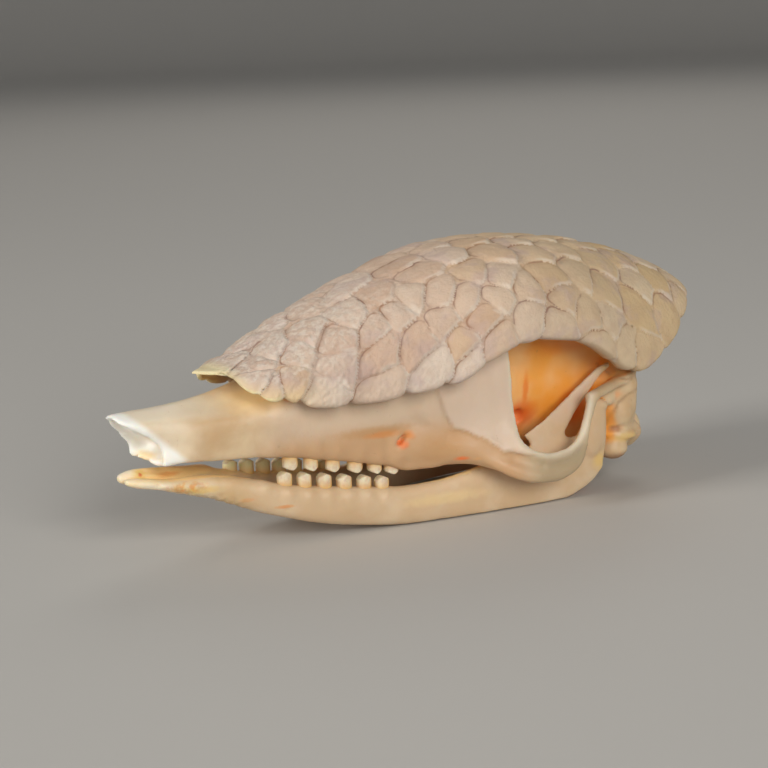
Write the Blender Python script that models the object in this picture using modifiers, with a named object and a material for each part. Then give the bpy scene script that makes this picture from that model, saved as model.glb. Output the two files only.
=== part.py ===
"""An armadillo skull resting on its own lower jaws, with the bony head shield still on its crown.

Sizes below are millimetres, measured from the nose tip: X runs to the back of the head, Y is the breadth,
and Z is the height. The jaws rest on a surface that lies JAW_SEAT below zero. The snout points to -X and the
skull's left side is -Y.
"""
import math

import bmesh
import bpy
import numpy as np
from mathutils import Vector

MM = 0.001
MIDDLE_X = 53.6
JAW_SEAT = 0.9
GAP = 0.3

# The upper skull's lengthwise lines, as (x, half breadth, height)
ROOF = [(0, 0, 21.6), (10, 0, 21.8), (17, 0, 22.6), (23, 0, 24.0), (32, 0, 27.8), (42, 0, 32.4),
        (52, 0, 36.0), (62, 0, 37.7), (70, 0, 37.9), (80, 0, 36.6), (88, 0, 32.5), (93, 0, 26.5),
        (95.6, 0, 19.5)]
SHOULDER = [(0, 2.4, 21.0), (10, 3.7, 20.8), (20, 4.6, 21.6), (32, 6.9, 25.6), (42, 8.8, 29.4),
            (52, 10.6, 32.4), (62, 12.0, 34.0), (70, 12.8, 34.0), (80, 13.2, 31.5), (88, 12.6, 27.5),
            (93, 8.8, 22.5), (95.6, 3.6, 17.8)]
TEMPLE = [(0, 3.3, 20.2), (10, 5.2, 19.0), (20, 6.9, 19.4), (32, 9.4, 21.4), (42, 11.6, 23.4),
          (50, 12.6, 24.8), (58, 11.8, 25.5), (66, 10.9, 25.8), (74, 10.8, 25.0), (80, 11.0, 23.5),
          (84, 11.5, 22.0), (88, 12.2, 20.8), (92, 10.2, 18.5), (95.6, 4.6, 15.5)]
WALL = [(0, 3.6, 18.4), (10, 5.5, 16.4), (20, 7.1, 16.0), (32, 9.0, 16.0), (42, 10.8, 15.0),
        (50, 11.2, 14.5), (58, 10.2, 15.0), (66, 9.7, 15.5), (74, 9.6, 15.0), (80, 9.8, 14.2),
        (83.2, 10.6, 13.4), (86, 13.6, 12.6), (89.5, 13.2, 12.0), (93, 8.6, 11.0), (95.6, 4.8, 10.5)]
EDGE = [(0, 3.4, 15.0), (7, 4.7, 14.0), (20, 6.7, 13.1), (26.6, 7.4, 12.3), (33, 8.3, 11.0), (38, 9.1, 9.9),
        (44, 9.8, 8.6), (50, 10.0, 8.3), (56, 8.4, 8.6), (64, 6.8, 8.6), (74, 6.4, 7.4), (80, 7.0, 6.4),
        (86, 10.6, 4.6), (89, 9.4, 3.8), (93, 6.0, 4.0), (95.6, 3.8, 7.0)]
PALATE = [(0, 1.8, 15.6), (10, 2.6, 14.9), (20, 3.4, 14.2), (30, 4.4, 12.9), (40, 5.6, 10.9),
          (48, 6.2, 9.6), (56, 5.0, 9.4), (66, 4.0, 8.8), (76, 3.8, 7.4), (86, 5.2, 5.4), (92, 3.4, 4.8),
          (95.6, 1.8, 7.2)]
SKULL_STEP = 2.4
SKULL_SIDES = 36
NOSE_END = 11
NOSE_SLANT = [(13, 6.6), (14, 6.5), (16.3, 6.4), (18, 4.4), (19.6, 2.2), (20.4, 0.9), (21.3, 0), (23, 0)]
NOSE_WALL = 1.1
NOSE_HOLLOW = [(11, 0.45), (6.6, 0.9), (0, 1)]
FORAMEN = (96.2, 10.9, 4.3, 3.7)
FORAMEN_HOLLOW = [(0, 1), (4.5, 1.05), (9, 0.7)]

# The cheek arch, front to back: the orbit's rim and the arch's outer border, as (x, half breadth, height)
ARCH_RIM = [(62.9, 14.2, 27.0), (62.6, 15.0, 23.0), (62.4, 15.7, 19.0), (62.2, 16.5, 15.0),
            (62.3, 17.5, 11.8), (63.4, 18.4, 9.9), (65.3, 19.0, 9.0), (67.5, 19.2, 8.75), (69.8, 19.0, 8.85),
            (71.9, 18.6, 9.5), (73.6, 18.1, 10.6), (74.8, 17.6, 12.2), (75.8, 17.0, 14.1),
            (76.8, 16.4, 16.1)]
ARCH_BORDER = [(46.0, 11.6, 29.0), (44.0, 10.8, 24.0), (44.6, 11.0, 19.6), (47.6, 11.8, 15.6),
               (52.5, 13.4, 11.6), (57.2, 16.2, 7.6), (60.6, 17.8, 5.3), (64.1, 18.9, 4.0),
               (67.8, 19.1, 3.8), (71.1, 18.7, 4.4), (73.7, 18.2, 6.0), (75.5, 17.8, 9.0),
               (77.0, 17.2, 12.2), (78.6, 16.4, 14.6)]
ARCH_STATIONS = 40
ARCH_THICKNESS = 1.7
RIM_THICKNESS = 1.3
RIM_BREADTH = 0.2
# Across the arch from rim to border, as (share of the breadth, thickness as a share)
ARCH_PROFILE = [(0, 0.5), (0.12, 1.25), (0.35, 0.8), (0.7, 1.0), (0.92, 0.9), (1, 0.45)]
BAR_SIDES = 12
BAR_STEPS = 4
# Bars that are oval across, as (x, half breadth, height, half width, half height)
CHEEK_ROOT = [(43.0, 9.4, 12.6, 1.6, 3.6), (49.5, 10.8, 12.0, 2.3, 4.0), (55.5, 13.4, 10.9, 2.5, 3.2),
              (60.5, 16.8, 8.2, 1.4, 2.2)]
ORBIT_FRONT = [(46.0, 10.6, 21.0, 1.8, 7.0), (52.0, 12.0, 20.5, 2.4, 7.5), (57.5, 13.2, 20.0, 2.4, 7.0)]
TEMPLE_LEDGE = [(76.6, 16.7, 15.6, 1.0, 1.1), (80.0, 15.9, 16.3, 1.1, 0.9), (84.0, 14.2, 16.7, 1.3, 0.9),
                (88.0, 12.3, 17.2, 1.6, 1.0), (90.6, 10.6, 18.6, 1.6, 1.0)]
PTERYGOID = [(56.0, 4.6, 8.6, 1.0, 1.4), (64.0, 3.8, 6.6, 0.9, 1.8), (71.0, 3.8, 6.4, 0.8, 1.6),
             (75.0, 4.2, 7.2, 0.8, 1.0)]
OCCIPITAL_CONDYLE = (94.0, 5.2, 6.6, 2.6, 2.4, 3.4)
MASTOID = (86.0, 11.6, 5.6, 2.4, 2.0, 3.0)
EAR_REGION = (87.0, 11.2, 11.0, 3.0, 3.0, 6.5)

# The lower jaw: its lower border, its upper border, and its half thickness
JAW_MIDDLE = [(1.6, 1.2), (4, 1.5), (7, 1.9), (12.4, 2.6), (17, 3.6), (22.6, 5.0), (26, 5.9), (33, 7.1),
              (41, 8.4), (50, 10.1), (60, 11.9), (70, 13.1), (82, 13.5)]
JAW_LOWER = [(1.6, 11.2), (3, 10.6), (7, 9.5), (11.7, 8.1), (14.5, 7.2), (18.6, 5.5), (22, 4.1), (26, 2.7),
             (30, 1.5), (36, 0.2), (42, -0.7), (48, -1.2), (60, -1.3), (71, -1.3), (74.5, -1.1), (77.6, -0.2),
             (80.2, 1.2), (81.9, 3.0)]
JAW_UPPER = [(1.6, 12.2), (4, 12.0), (9, 11.3), (14, 11.0), (17.4, 11.2), (19.6, 9.7), (23, 8.6), (26, 8.0),
             (33, 6.8), (41, 5.6), (46, 5.2), (50, 5.3), (55, 6.0), (60, 7.2), (66, 8.4), (72, 9.2),
             (79, 9.2), (82.6, 8.0)]
JAW_HALF = [(1.6, 0.8), (4, 1.5), (9, 2.0), (17, 1.9), (22.6, 1.7), (33, 1.8), (41, 1.8), (50, 1.5),
            (60, 1.1), (70, 0.85), (82.6, 0.8)]
JAW_STEP = 2.2
JAW_SIDES = 16
JAW_ROUND = 0.8
CORONOID = [(69.5, 12.4, 7.5, 0.7, 4.4), (73.0, 12.5, 11.0, 0.6, 2.6), (76.6, 12.6, 14.4, 0.6, 1.7),
            (79.6, 12.8, 17.0, 0.6, 1.2), (82.0, 12.9, 18.9, 0.5, 0.9), (84.4, 12.9, 19.9, 0.45, 0.6)]
CONDYLE_NECK = [(79.0, 13.1, 7.0, 0.9, 3.2), (80.6, 13.0, 10.6, 1.0, 2.0), (81.4, 13.2, 13.2, 1.3, 1.6)]
CONDYLE = (81.4, 13.3, 13.6, 1.7, 2.3, 1.0)
CHIN_TROUGH = (11.0, 0, 13.0, 10.5, 2.2, 2.7)

# The teeth: pegs with a worn, roof-shaped crown
UPPER_TOOTH_X = (23.4, 26.9, 30.3, 33.9, 37.6, 40.8, 43.8)
LOWER_TOOTH_X = (22.7, 26.1, 29.3, 32.5, 35.8, 39.0, 42.0)
UPPER_TOOTH_Y = [(23, 5.9), (27, 6.3), (34, 7.4), (44, 8.6)]
LOWER_TOOTH_Y = [(22, 5.0), (26, 5.8), (33, 7.0), (42, 8.5)]
BITE_LINE = [(22, 10.8), (26.5, 10.1), (34, 8.8), (42.5, 7.3), (48, 6.4)]
BITE_GAP = 0.3
TOOTH_ROOT = 1.6
TOOTH_LONG = 1.3
TOOTH_WIDE = 1.05
TOOTH_SHOULDER = 0.7
TOOTH_RIDGE = (0.45, 0.8)
TOOTH_SIDES = 6

# The head shield: its crown line and its lower border, as (x, half breadth, height)
SHIELD_CROWN = [(17.8, 26.3), (20, 26.8), (23, 27.8), (26, 29.3), (29.4, 31.1), (33, 32.8), (37, 34.4),
                (44.3, 37.1), (52, 39.3), (60, 40.9), (68, 41.3), (76, 40.8), (84, 39.6), (90, 38.2),
                (96, 36.3), (101, 34.2), (104.6, 32.0), (106.6, 30.0)]
SHIELD_BORDER = [(17.8, 2.8, 26.3), (18.6, 4.6, 26.0), (19.9, 6.7, 25.0), (21.6, 8.8, 23.7),
                 (23.6, 10.4, 22.6), (25.6, 11.5, 21.9), (28, 12.6, 21.1), (31, 13.6, 20.6),
                 (36.6, 15.0, 20.2), (42.6, 16.2, 20.9), (47.5, 17.3, 21.8), (51.4, 18.4, 22.8),
                 (55.2, 19.4, 24.9), (60, 20.1, 26.6), (65, 20.4, 27.2), (70, 20.2, 26.5),
                 (74.6, 19.8, 25.1), (77.9, 19.3, 23.6), (81.6, 18.5, 21.0), (84, 17.9, 19.9),
                 (87, 17.1, 19.1), (92, 15.6, 19.8), (97, 13.8, 22.0), (101, 11.8, 24.8),
                 (104.6, 9.0, 27.8), (106.6, 6.0, 29.6)]
SHIELD_ROUND = 2.2
SHIELD_THICK = 1.5
SHIELD_TIP_THICK = 0.5
SHIELD_TAPER = 12
SCUTE_LONG = 6.3
SCUTE_WIDE = 5.2
SCUTE_JITTER = 0.14
SCUTE_MARGIN = 0.3
SCUTE_ROUNDS = 5
NEIGHBOURS = 24
NEIGHBOUR_REACH = 14.0
GHOST_REACH = 8.8
GROOVE_DEEP = 0.8
SCUTE_EDGE_DEEP = 0.2
SCUTE_INSET = 0.5
SCALLOP = 0.16
SCALLOP_POINTS = 3
SCALLOP_SHORTEST = 1.5
BEAK_LONG = 3.4
SHORTEST_EDGE = 0.25
SEED = 11

# How each skin is grown together: voxel size in millimetres, rounds of smoothing, triangles
CRANIUM_SKIN = (0.5, 3, 3150)
JAW_SKIN = (0.4, 3, 560)

BONE = ("bone", (0.80, 0.66, 0.47), 0.5)
JAW_BONE = ("jaw_bone", (0.82, 0.68, 0.44), 0.5)
SCUTE_BONE = ("scute_bone", (0.66, 0.53, 0.42), 0.75)
ENAMEL = ("tooth", (0.85, 0.74, 0.55), 0.35)


def line_through(points):
    """A smooth line through points whose first value is the position; it never swings past a point."""
    table = np.array(points, float)
    at, values = table[:, 0], table[:, 1:]
    step = np.diff(at)[:, None]
    rise = np.diff(values, axis=0) / step
    slope = np.zeros_like(values)
    before, after = rise[:-1], rise[1:]
    even = before * after > 0
    weight = 2 * step[1:] + step[:-1], step[1:] + 2 * step[:-1]
    mean = weight[0] / np.where(even, before, 1) + weight[1] / np.where(even, after, 1)
    slope[1:-1] = np.where(even, (weight[0] + weight[1]) / mean, 0)
    slope[0], slope[-1] = rise[0], rise[-1]

    def read(position):
        index = int(np.clip(np.searchsorted(at, position) - 1, 0, len(at) - 2))
        width = at[index + 1] - at[index]
        t = float(np.clip((position - at[index]) / width, 0, 1))
        return (values[index] * (1 + 2 * t) * (1 - t) ** 2 + slope[index] * width * t * (1 - t) ** 2
                + values[index + 1] * t * t * (3 - 2 * t) + slope[index + 1] * width * t * t * (t - 1))

    return read


def closed_curve(points, count):
    """Evenly spaced points on a closed smooth curve through the given ones."""
    points = np.array(points, float)
    fine = []
    for i in range(len(points)):
        a, b, c, d = points[i - 1], points[i], points[(i + 1) % len(points)], points[(i + 2) % len(points)]
        for t in np.linspace(0, 1, 9)[:-1]:
            fine.append(0.5 * (2 * b + (c - a) * t + (2 * a - 5 * b + 4 * c - d) * t * t
                               + (3 * b - 3 * c + d - a) * t ** 3))
    fine = np.array(fine + fine[:1])
    run = np.concatenate([[0], np.cumsum(np.linalg.norm(np.diff(fine, axis=0), axis=1))])
    where = np.linspace(0, run[-1], count + 1)[:-1]
    return np.stack([np.interp(where, run, fine[:, k]) for k in range(fine.shape[1])], 1)


def placed(point):
    return Vector(((point[0] - MIDDLE_X) * MM, point[1] * MM, (point[2] + JAW_SEAT) * MM))


def clear_scene():
    for obj in list(bpy.data.objects):
        bpy.data.objects.remove(obj, do_unlink=True)


def collection(name):
    made = bpy.data.collections.new(name)
    bpy.context.scene.collection.children.link(made)
    return made


def material(look):
    name, colour, roughness = look
    if name in bpy.data.materials:
        return bpy.data.materials[name]
    made = bpy.data.materials.new(name)
    made.use_nodes = True
    shader = made.node_tree.nodes["Principled BSDF"]
    shader.inputs["Base Color"].default_value = (*colour, 1)
    shader.inputs["Roughness"].default_value = roughness
    shader.inputs["Metallic"].default_value = 0
    return made


def new_object(name, mesh, look, home):
    made = bpy.data.objects.new(name, mesh)
    home.objects.link(made)
    mesh.materials.append(material(look))
    return made


def add_loft(work, rings):
    """Faces between rings of equally many points, with both ends closed."""
    rows = [[work.verts.new(placed(point)) for point in ring] for ring in rings]
    count = len(rows[0])
    for low, high in zip(rows, rows[1:]):
        for i in range(count):
            j = (i + 1) % count
            work.faces.new((low[i], low[j], high[j], high[i]))
    work.faces.new(rows[0])
    work.faces.new(rows[-1])


def add_bar(work, stations, side):
    """An oval bar through stations of (x, half breadth, height, half width, half height)."""
    line = [np.array((x, side * y, z)) for x, y, z, _, _ in stations]
    fine, sizes = [], []
    for i in range(len(line) - 1):
        for k in range(BAR_STEPS):
            t = k / BAR_STEPS
            fine.append(line[i] * (1 - t) + line[i + 1] * t)
            sizes.append(np.array(stations[i][3:]) * (1 - t) + np.array(stations[i + 1][3:]) * t)
    fine.append(line[-1])
    sizes.append(np.array(stations[-1][3:]))
    rings = []
    for i, (centre, size) in enumerate(zip(fine, sizes)):
        ahead = fine[min(i + 1, len(fine) - 1)] - fine[max(i - 1, 0)]
        ahead = ahead / np.linalg.norm(ahead)
        across = np.cross(ahead, (0, 0, 1))
        across = across / np.linalg.norm(across)
        upright = np.cross(across, ahead)
        rings.append([centre + across * size[0] * math.cos(a) + upright * size[1] * math.sin(a)
                      for a in np.linspace(0, 2 * math.pi, BAR_SIDES + 1)[:-1]])
    add_loft(work, rings)


def add_ball(work, ball, side):
    x, y, z, long, wide, high = ball
    made = bmesh.ops.create_uvsphere(work, u_segments=14, v_segments=9, radius=1)["verts"]
    for vert in made:
        vert.co = placed((x + vert.co.x * long, side * y + vert.co.y * wide, z + vert.co.z * high))


def skull_rings():
    """Cross rings of the upper skull: deep in the nose, over the outside, then deep in the foramen magnum."""
    lines = [line_through(points) for points in (ROOF, SHOULDER, TEMPLE, WALL, EDGE, PALATE)]
    slant = line_through(NOSE_SLANT)
    end = ROOF[-1][0]

    def ring_at(x):
        half = [line(x) for line in lines]
        left = [(-y, z) for y, z in half]
        right = [(y, z) for y, z in reversed(half[1:])]
        bottom = [(0, half[-1][1])]
        return closed_curve(left + bottom + right, SKULL_SIDES)

    outer = []
    for x in np.linspace(0, end, round(end / SKULL_STEP) + 1):
        flat = ring_at(x)
        if x < NOSE_END:
            starts = np.array([slant(z)[0] for z in flat[:, 1]])
            along = starts + (NOSE_END - starts) * x / NOSE_END
        else:
            along = np.full(SKULL_SIDES, x)
        outer.append(np.column_stack([along, flat]))
    front = outer[0]
    middle = front.mean(0)
    nose = []
    for depth, keep in NOSE_HOLLOW:
        ring = front.copy()
        spoke = middle - front
        reach = np.linalg.norm(spoke[:, 1:], axis=1)[:, None]
        ring[:, 1:] += spoke[:, 1:] * NOSE_WALL / reach
        ring[:, 1:] = middle[1:] + (ring[:, 1:] - middle[1:]) * keep
        ring[:, 0] += depth
        nose.append(ring)
    x, z, wide, high = FORAMEN
    angle = np.linspace(0, 2 * math.pi, SKULL_SIDES + 1)[:-1]
    round_hole = np.column_stack([np.full(SKULL_SIDES, x), -wide * np.sin(angle), z + high * np.cos(angle)])
    hole = []
    for depth, keep in FORAMEN_HOLLOW:
        ring = round_hole.copy()
        ring[:, 0] -= depth
        ring[:, 1:] = (0, z) + (ring[:, 1:] - (0, z)) * keep
        hole.append(ring)
    return nose + outer + hole


def arch_rings(side):
    """The cheek plate and arch as one strip between the orbit's rim and the outer border."""
    steps = np.linspace(0, len(ARCH_RIM) - 1, ARCH_STATIONS)
    rim_line = line_through([(i, *point) for i, point in enumerate(ARCH_RIM)])
    border_line = line_through([(i, *point) for i, point in enumerate(ARCH_BORDER)])
    turn = np.array((1, side, 1))
    rim = [rim_line(i) * turn for i in steps]
    border = [border_line(i) * turn for i in steps]
    rings = []
    for i in range(len(steps)):
        ahead = rim[min(i + 1, len(rim) - 1)] - rim[max(i - 1, 0)]
        across = border[i] - rim[i]
        out = np.cross(ahead, across)
        out = out / np.linalg.norm(out)
        if out[1] * side < 0:
            out = -out
        outer, inner = [], []
        for u, thick in ARCH_PROFILE:
            point = rim[i] + across * u
            half = (RIM_THICKNESS if u < RIM_BREADTH else ARCH_THICKNESS) / 2
            outer.append(point + out * half * thick)
            inner.append(point - out * half * min(thick, 1))
        rings.append(outer + inner[::-1])
    return rings


def jaw_rings(side):
    middle, lower, upper, half = map(line_through, (JAW_MIDDLE, JAW_LOWER, JAW_UPPER, JAW_HALF))
    first, last = JAW_LOWER[0][0], JAW_LOWER[-1][0]
    rings = []
    for x in np.linspace(first, last, round((last - first) / JAW_STEP) + 1):
        low, high = lower(x)[0], upper(x)[0]
        y, wide = middle(x)[0], half(x)[0]
        tall = (high - low) / 2
        ring = []
        for angle in np.linspace(0, 2 * math.pi, JAW_SIDES + 1)[:-1]:
            c, s = math.cos(angle), math.sin(angle)
            ring.append((x, side * (y + wide * math.copysign(abs(c) ** JAW_ROUND, c)),
                         low + tall + tall * math.copysign(abs(s) ** JAW_ROUND, s)))
        rings.append(ring)
    return rings


def melt(name, work, skin, look, home):
    """Overlapping closed shapes grown into one skin, then thinned to about the given number of triangles."""
    voxel, smoothing, triangles = skin
    bmesh.ops.recalc_face_normals(work, faces=work.faces)
    mesh = bpy.data.meshes.new(name)
    work.to_mesh(mesh)
    work.free()
    made = new_object(name, mesh, look, home)
    remesh = made.modifiers.new("grown_together", "REMESH")
    remesh.mode = "VOXEL"
    remesh.voxel_size = voxel * MM
    smooth = made.modifiers.new("smooth", "SMOOTH")
    smooth.iterations = smoothing
    smooth.factor = 0.5
    count = triangle_count(made)
    thin = made.modifiers.new("thin", "DECIMATE")
    thin.ratio = triangles / count
    apply_modifiers(made)
    return made


def evaluated_mesh(obj):
    graph = bpy.context.evaluated_depsgraph_get()
    return bpy.data.meshes.new_from_object(obj.evaluated_get(graph))


def triangle_count(obj):
    mesh = evaluated_mesh(obj)
    mesh.calc_loop_triangles()
    count = len(mesh.loop_triangles)
    bpy.data.meshes.remove(mesh)
    return count


def apply_modifiers(obj):
    mesh = evaluated_mesh(obj)
    obj.modifiers.clear()
    obj.data = mesh


def cut(obj, cutter):
    made = obj.modifiers.new(cutter.name, "BOOLEAN")
    made.operation = "DIFFERENCE"
    made.object = cutter
    made.solver = "EXACT"
    apply_modifiers(obj)


def tooth_places(side):
    """Every tooth on one side: its jaw, number, x, half breadth, bite height and direction of its root."""
    first = 1 if side < 0 else 0
    rows = (("upper", UPPER_TOOTH_X, UPPER_TOOTH_Y, 1), ("lower", LOWER_TOOTH_X, LOWER_TOOTH_Y, -1))
    bite = line_through(BITE_LINE)
    for jaw, places, breadths, up in rows:
        breadth = line_through(breadths)
        for number, x in enumerate(places[first:], 1):
            yield jaw, number, x, side * breadth(x)[0], bite(x)[0] + up * BITE_GAP / 2, up


def gum_height(jaw, x):
    if jaw == "upper":
        return line_through(EDGE)(x)[1]
    return line_through(JAW_UPPER)(x)[0]


def add_tooth(work, jaw, x, y, tip, up, grow):
    """A peg from its root in the bone to a crown worn like a low roof."""
    root = gum_height(jaw, x) + up * (TOOTH_ROOT + grow)
    shoulder = tip + up * TOOTH_SHOULDER
    grow = grow / math.cos(math.pi / TOOTH_SIDES)
    rings = []
    for z, long, wide in ((root, 1, 1), (shoulder, 1, 1), (tip, *TOOTH_RIDGE)):
        long, wide = TOOTH_LONG * long + grow, TOOTH_WIDE * wide + grow
        rings.append([(x + long * math.cos(a), y + wide * math.sin(a), z)
                      for a in (np.arange(TOOTH_SIDES) + 0.5) * 2 * math.pi / TOOTH_SIDES])
    add_loft(work, rings[:2] if grow else rings)


def make_teeth(home):
    for side, side_name in ((-1, "left"), (1, "right")):
        for jaw, number, x, y, tip, up in tooth_places(side):
            work = bmesh.new()
            add_tooth(work, jaw, x, y, tip, up, 0)
            bmesh.ops.recalc_face_normals(work, faces=work.faces)
            name = f"{jaw}_tooth_{side_name}_{number}"
            mesh = bpy.data.meshes.new(name)
            work.to_mesh(mesh)
            work.free()
            new_object(name, mesh, ENAMEL, home)


def socket_cutter(name, jaw, sides, helpers):
    """Pegs a little larger than the teeth, long enough to open the bone."""
    work = bmesh.new()
    for side in sides:
        for kind, _, x, y, tip, up in tooth_places(side):
            if kind == jaw:
                add_tooth(work, jaw, x, y, tip, up, GAP)
    bmesh.ops.recalc_face_normals(work, faces=work.faces)
    return helper(name, work, helpers)


def helper(name, work, helpers):
    mesh = bpy.data.meshes.new(name)
    work.to_mesh(mesh)
    work.free()
    made = bpy.data.objects.new(name, mesh)
    helpers.objects.link(made)
    made.hide_render = True
    made.display_type = "WIRE"
    return made


class Dome:
    """The shield's outer form. Flat places on it are (a, b): the run along the crown, and down from it."""

    def __init__(self):
        self.crown = line_through(SHIELD_CROWN)
        self.border = line_through(SHIELD_BORDER)
        self.x = np.linspace(SHIELD_CROWN[0][0], SHIELD_CROWN[-1][0], 120)
        top = np.array([(x, self.crown(x)[0]) for x in self.x])
        self.run = np.concatenate([[0], np.cumsum(np.linalg.norm(np.diff(top, axis=0), axis=1))])
        self.length = self.run[-1]
        ends = np.insert(top, 1, 0, axis=1)
        self.front_slope = (ends[1] - ends[0]) / self.run[1]
        self.rear_slope = (ends[-1] - ends[-2]) / (self.run[-1] - self.run[-2])
        self.turns = np.linspace(0, math.pi / 2, 40)
        self.arcs = []
        for x in self.x:
            curve = np.array([self.section(x, turn) for turn in self.turns])
            self.arcs.append(np.concatenate([[0], np.cumsum(np.linalg.norm(np.diff(curve, axis=0), axis=1))]))
        self.arcs = np.array(self.arcs)

    def section(self, x, turn):
        y, low = self.border(x)
        high = self.crown(x)[0]
        power = 2 / SHIELD_ROUND
        return y * math.sin(turn) ** power, low + (high - low) * max(math.cos(turn), 0) ** power

    def half_width(self, a):
        return float(np.interp(a, self.run, self.arcs[:, -1]))

    def surface(self, a, b):
        inside = min(max(a, 0), self.length)
        x = float(np.interp(inside, self.run, self.x))
        arc = np.array([np.interp(inside, self.run, self.arcs[:, k]) for k in range(len(self.turns))])
        reach = min(abs(b), arc[-1])
        y, z = self.section(x, float(np.interp(reach, arc, self.turns)))
        point = np.array((x, math.copysign(y, b), z - (abs(b) - reach)))
        slope = self.front_slope if a < inside else self.rear_slope
        return point + slope * (a - inside)

    def sunk(self, place, depth):
        """The point that lies the given depth under the outer form."""
        a, b = place
        small = 0.2
        a_in = min(max(a, small), self.length - small)
        edge = self.half_width(a_in) - small
        b_in = min(max(b, -edge), edge)
        along = self.surface(a_in + small, b_in) - self.surface(a_in - small, b_in)
        across = self.surface(a_in, b_in + small) - self.surface(a_in, b_in - small)
        out = np.cross(along, across)
        return self.surface(a, b) - out / np.linalg.norm(out) * depth

    def outline(self):
        """The border as a closed run of flat places, front corner first."""
        along = np.linspace(0, self.length, 90)
        left = [(a, -self.half_width(a)) for a in along]
        return np.array(left + [(a, -b) for a, b in reversed(left)])


def nearest_on(outline, place):
    start, end = outline, np.roll(outline, -1, axis=0)
    edge = end - start
    t = np.clip(((place - start) * edge).sum(1) / np.maximum((edge * edge).sum(1), 1e-12), 0, 1)
    points = start + edge * t[:, None]
    return points[np.argmin(((points - place) ** 2).sum(1))]


def cell_around(seed, others):
    """The patch that is nearer to the seed than to any other, with the neighbour across each of its edges."""
    corners = [(-1, -1), (1, -1), (1, 1), (-1, 1)]
    patch = [(seed + np.array(corner) * NEIGHBOUR_REACH, None) for corner in corners]
    for index in np.argsort(((others - seed) ** 2).sum(1))[:NEIGHBOURS]:
        away = others[index] - seed
        middle = (others[index] + seed) / 2
        kept = []
        for i, (point, wall) in enumerate(patch):
            after = patch[(i + 1) % len(patch)][0]
            here, there = (point - middle) @ away, (after - middle) @ away
            if here <= 0:
                kept.append((point, wall))
            if (here < 0 < there) or (there < 0 < here):
                crossing = point + (after - point) * here / (here - there)
                kept.append((crossing, index if here < 0 else wall))
        patch = kept
    return patch


def scute_cells(dome):
    """Flat outlines of all scutes: a lattice, relaxed so that each fills its place."""
    chance = np.random.default_rng(SEED)
    outline = dome.outline()
    widest = max(dome.half_width(a) for a in dome.run)
    rows = int(widest / SCUTE_WIDE) + 1
    seeds = []
    for column in range(int(dome.length / SCUTE_LONG) + 1):
        for row in range(-rows, rows + 1):
            b = (row + 0.5 * (column % 2)) * SCUTE_WIDE
            jitter = chance.uniform(-SCUTE_JITTER, SCUTE_JITTER, 2)
            place = np.array(((column + 0.5 + jitter[0]) * SCUTE_LONG, b + jitter[1] * SCUTE_WIDE))
            margin = SCUTE_MARGIN * SCUTE_LONG
            if margin < place[0] < dome.length - margin:
                if abs(place[1]) < dome.half_width(place[0]) - SCUTE_MARGIN * SCUTE_WIDE:
                    seeds.append(place)
    for _ in range(SCUTE_ROUNDS):
        cells = outlined_cells(np.array(seeds), outline)
        seeds = [np.mean([point for point, _ in cell], axis=0) for cell in cells]
    return outlined_cells(np.array(seeds), outline)


def outlined_cells(seeds, outline):
    """Cells whose outer edges lie on the outline: each seed near it has a mirror image across it."""
    ghosts = []
    for seed in seeds:
        foot = nearest_on(outline, seed)
        if np.linalg.norm(foot - seed) < GHOST_REACH:
            ghosts.append(2 * foot - seed)
    everyone = np.concatenate([seeds, np.array(ghosts)])
    cells = []
    for i, seed in enumerate(seeds):
        others = np.delete(everyone, i, axis=0)
        first_ghost = len(seeds) - 1
        cell = cell_around(seed, others)
        cells.append([(point, wall is not None and wall >= first_ghost) for point, wall in cell])
    return cells


def scalloped(cell, beak):
    """The cell's corners, with each edge on the border bowed outwards."""
    middle = np.mean([point for point, _ in cell], axis=0)
    corners = []
    for i, (point, outside) in enumerate(cell):
        corners.append(point)
        after = cell[(i + 1) % len(cell)][0]
        long = np.linalg.norm(after - point)
        if not outside or long < SCALLOP_SHORTEST:
            continue
        normal = np.array((after[1] - point[1], point[0] - after[0])) / long
        if normal @ ((point + after) / 2 - middle) < 0:
            normal = -normal
        for k in range(1, SCALLOP_POINTS + 1):
            t = k / (SCALLOP_POINTS + 1)
            bow = BEAK_LONG * (1 - abs(2 * t - 1)) if beak else SCALLOP * long * (1 - (2 * t - 1) ** 2)
            corners.append(point + (after - point) * t + normal * bow)
    return corners


def make_shield(home):
    dome = Dome()
    cells = scute_cells(dome)
    front = min(range(len(cells)), key=lambda i: np.linalg.norm(np.mean([p for p, _ in cells[i]], axis=0)))
    work = bmesh.new()
    for i, cell in enumerate(cells):
        add_scute(work, dome, scalloped(cell, i == front))
    bmesh.ops.remove_doubles(work, verts=work.verts, dist=SHORTEST_EDGE * MM)
    rims = [edge for edge in work.edges if edge.is_boundary]
    bmesh.ops.bridge_loops(work, edges=rims)
    bmesh.ops.recalc_face_normals(work, faces=work.faces)
    mesh = bpy.data.meshes.new("head_shield")
    work.to_mesh(mesh)
    work.free()
    new_object("head_shield", mesh, SCUTE_BONE, home)


def thickness_at(a):
    """The shield thins towards its front tip."""
    share = min(max(a / SHIELD_TAPER, 0), 1)
    return SHIELD_TIP_THICK + (SHIELD_THICK - SHIELD_TIP_THICK) * share


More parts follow.
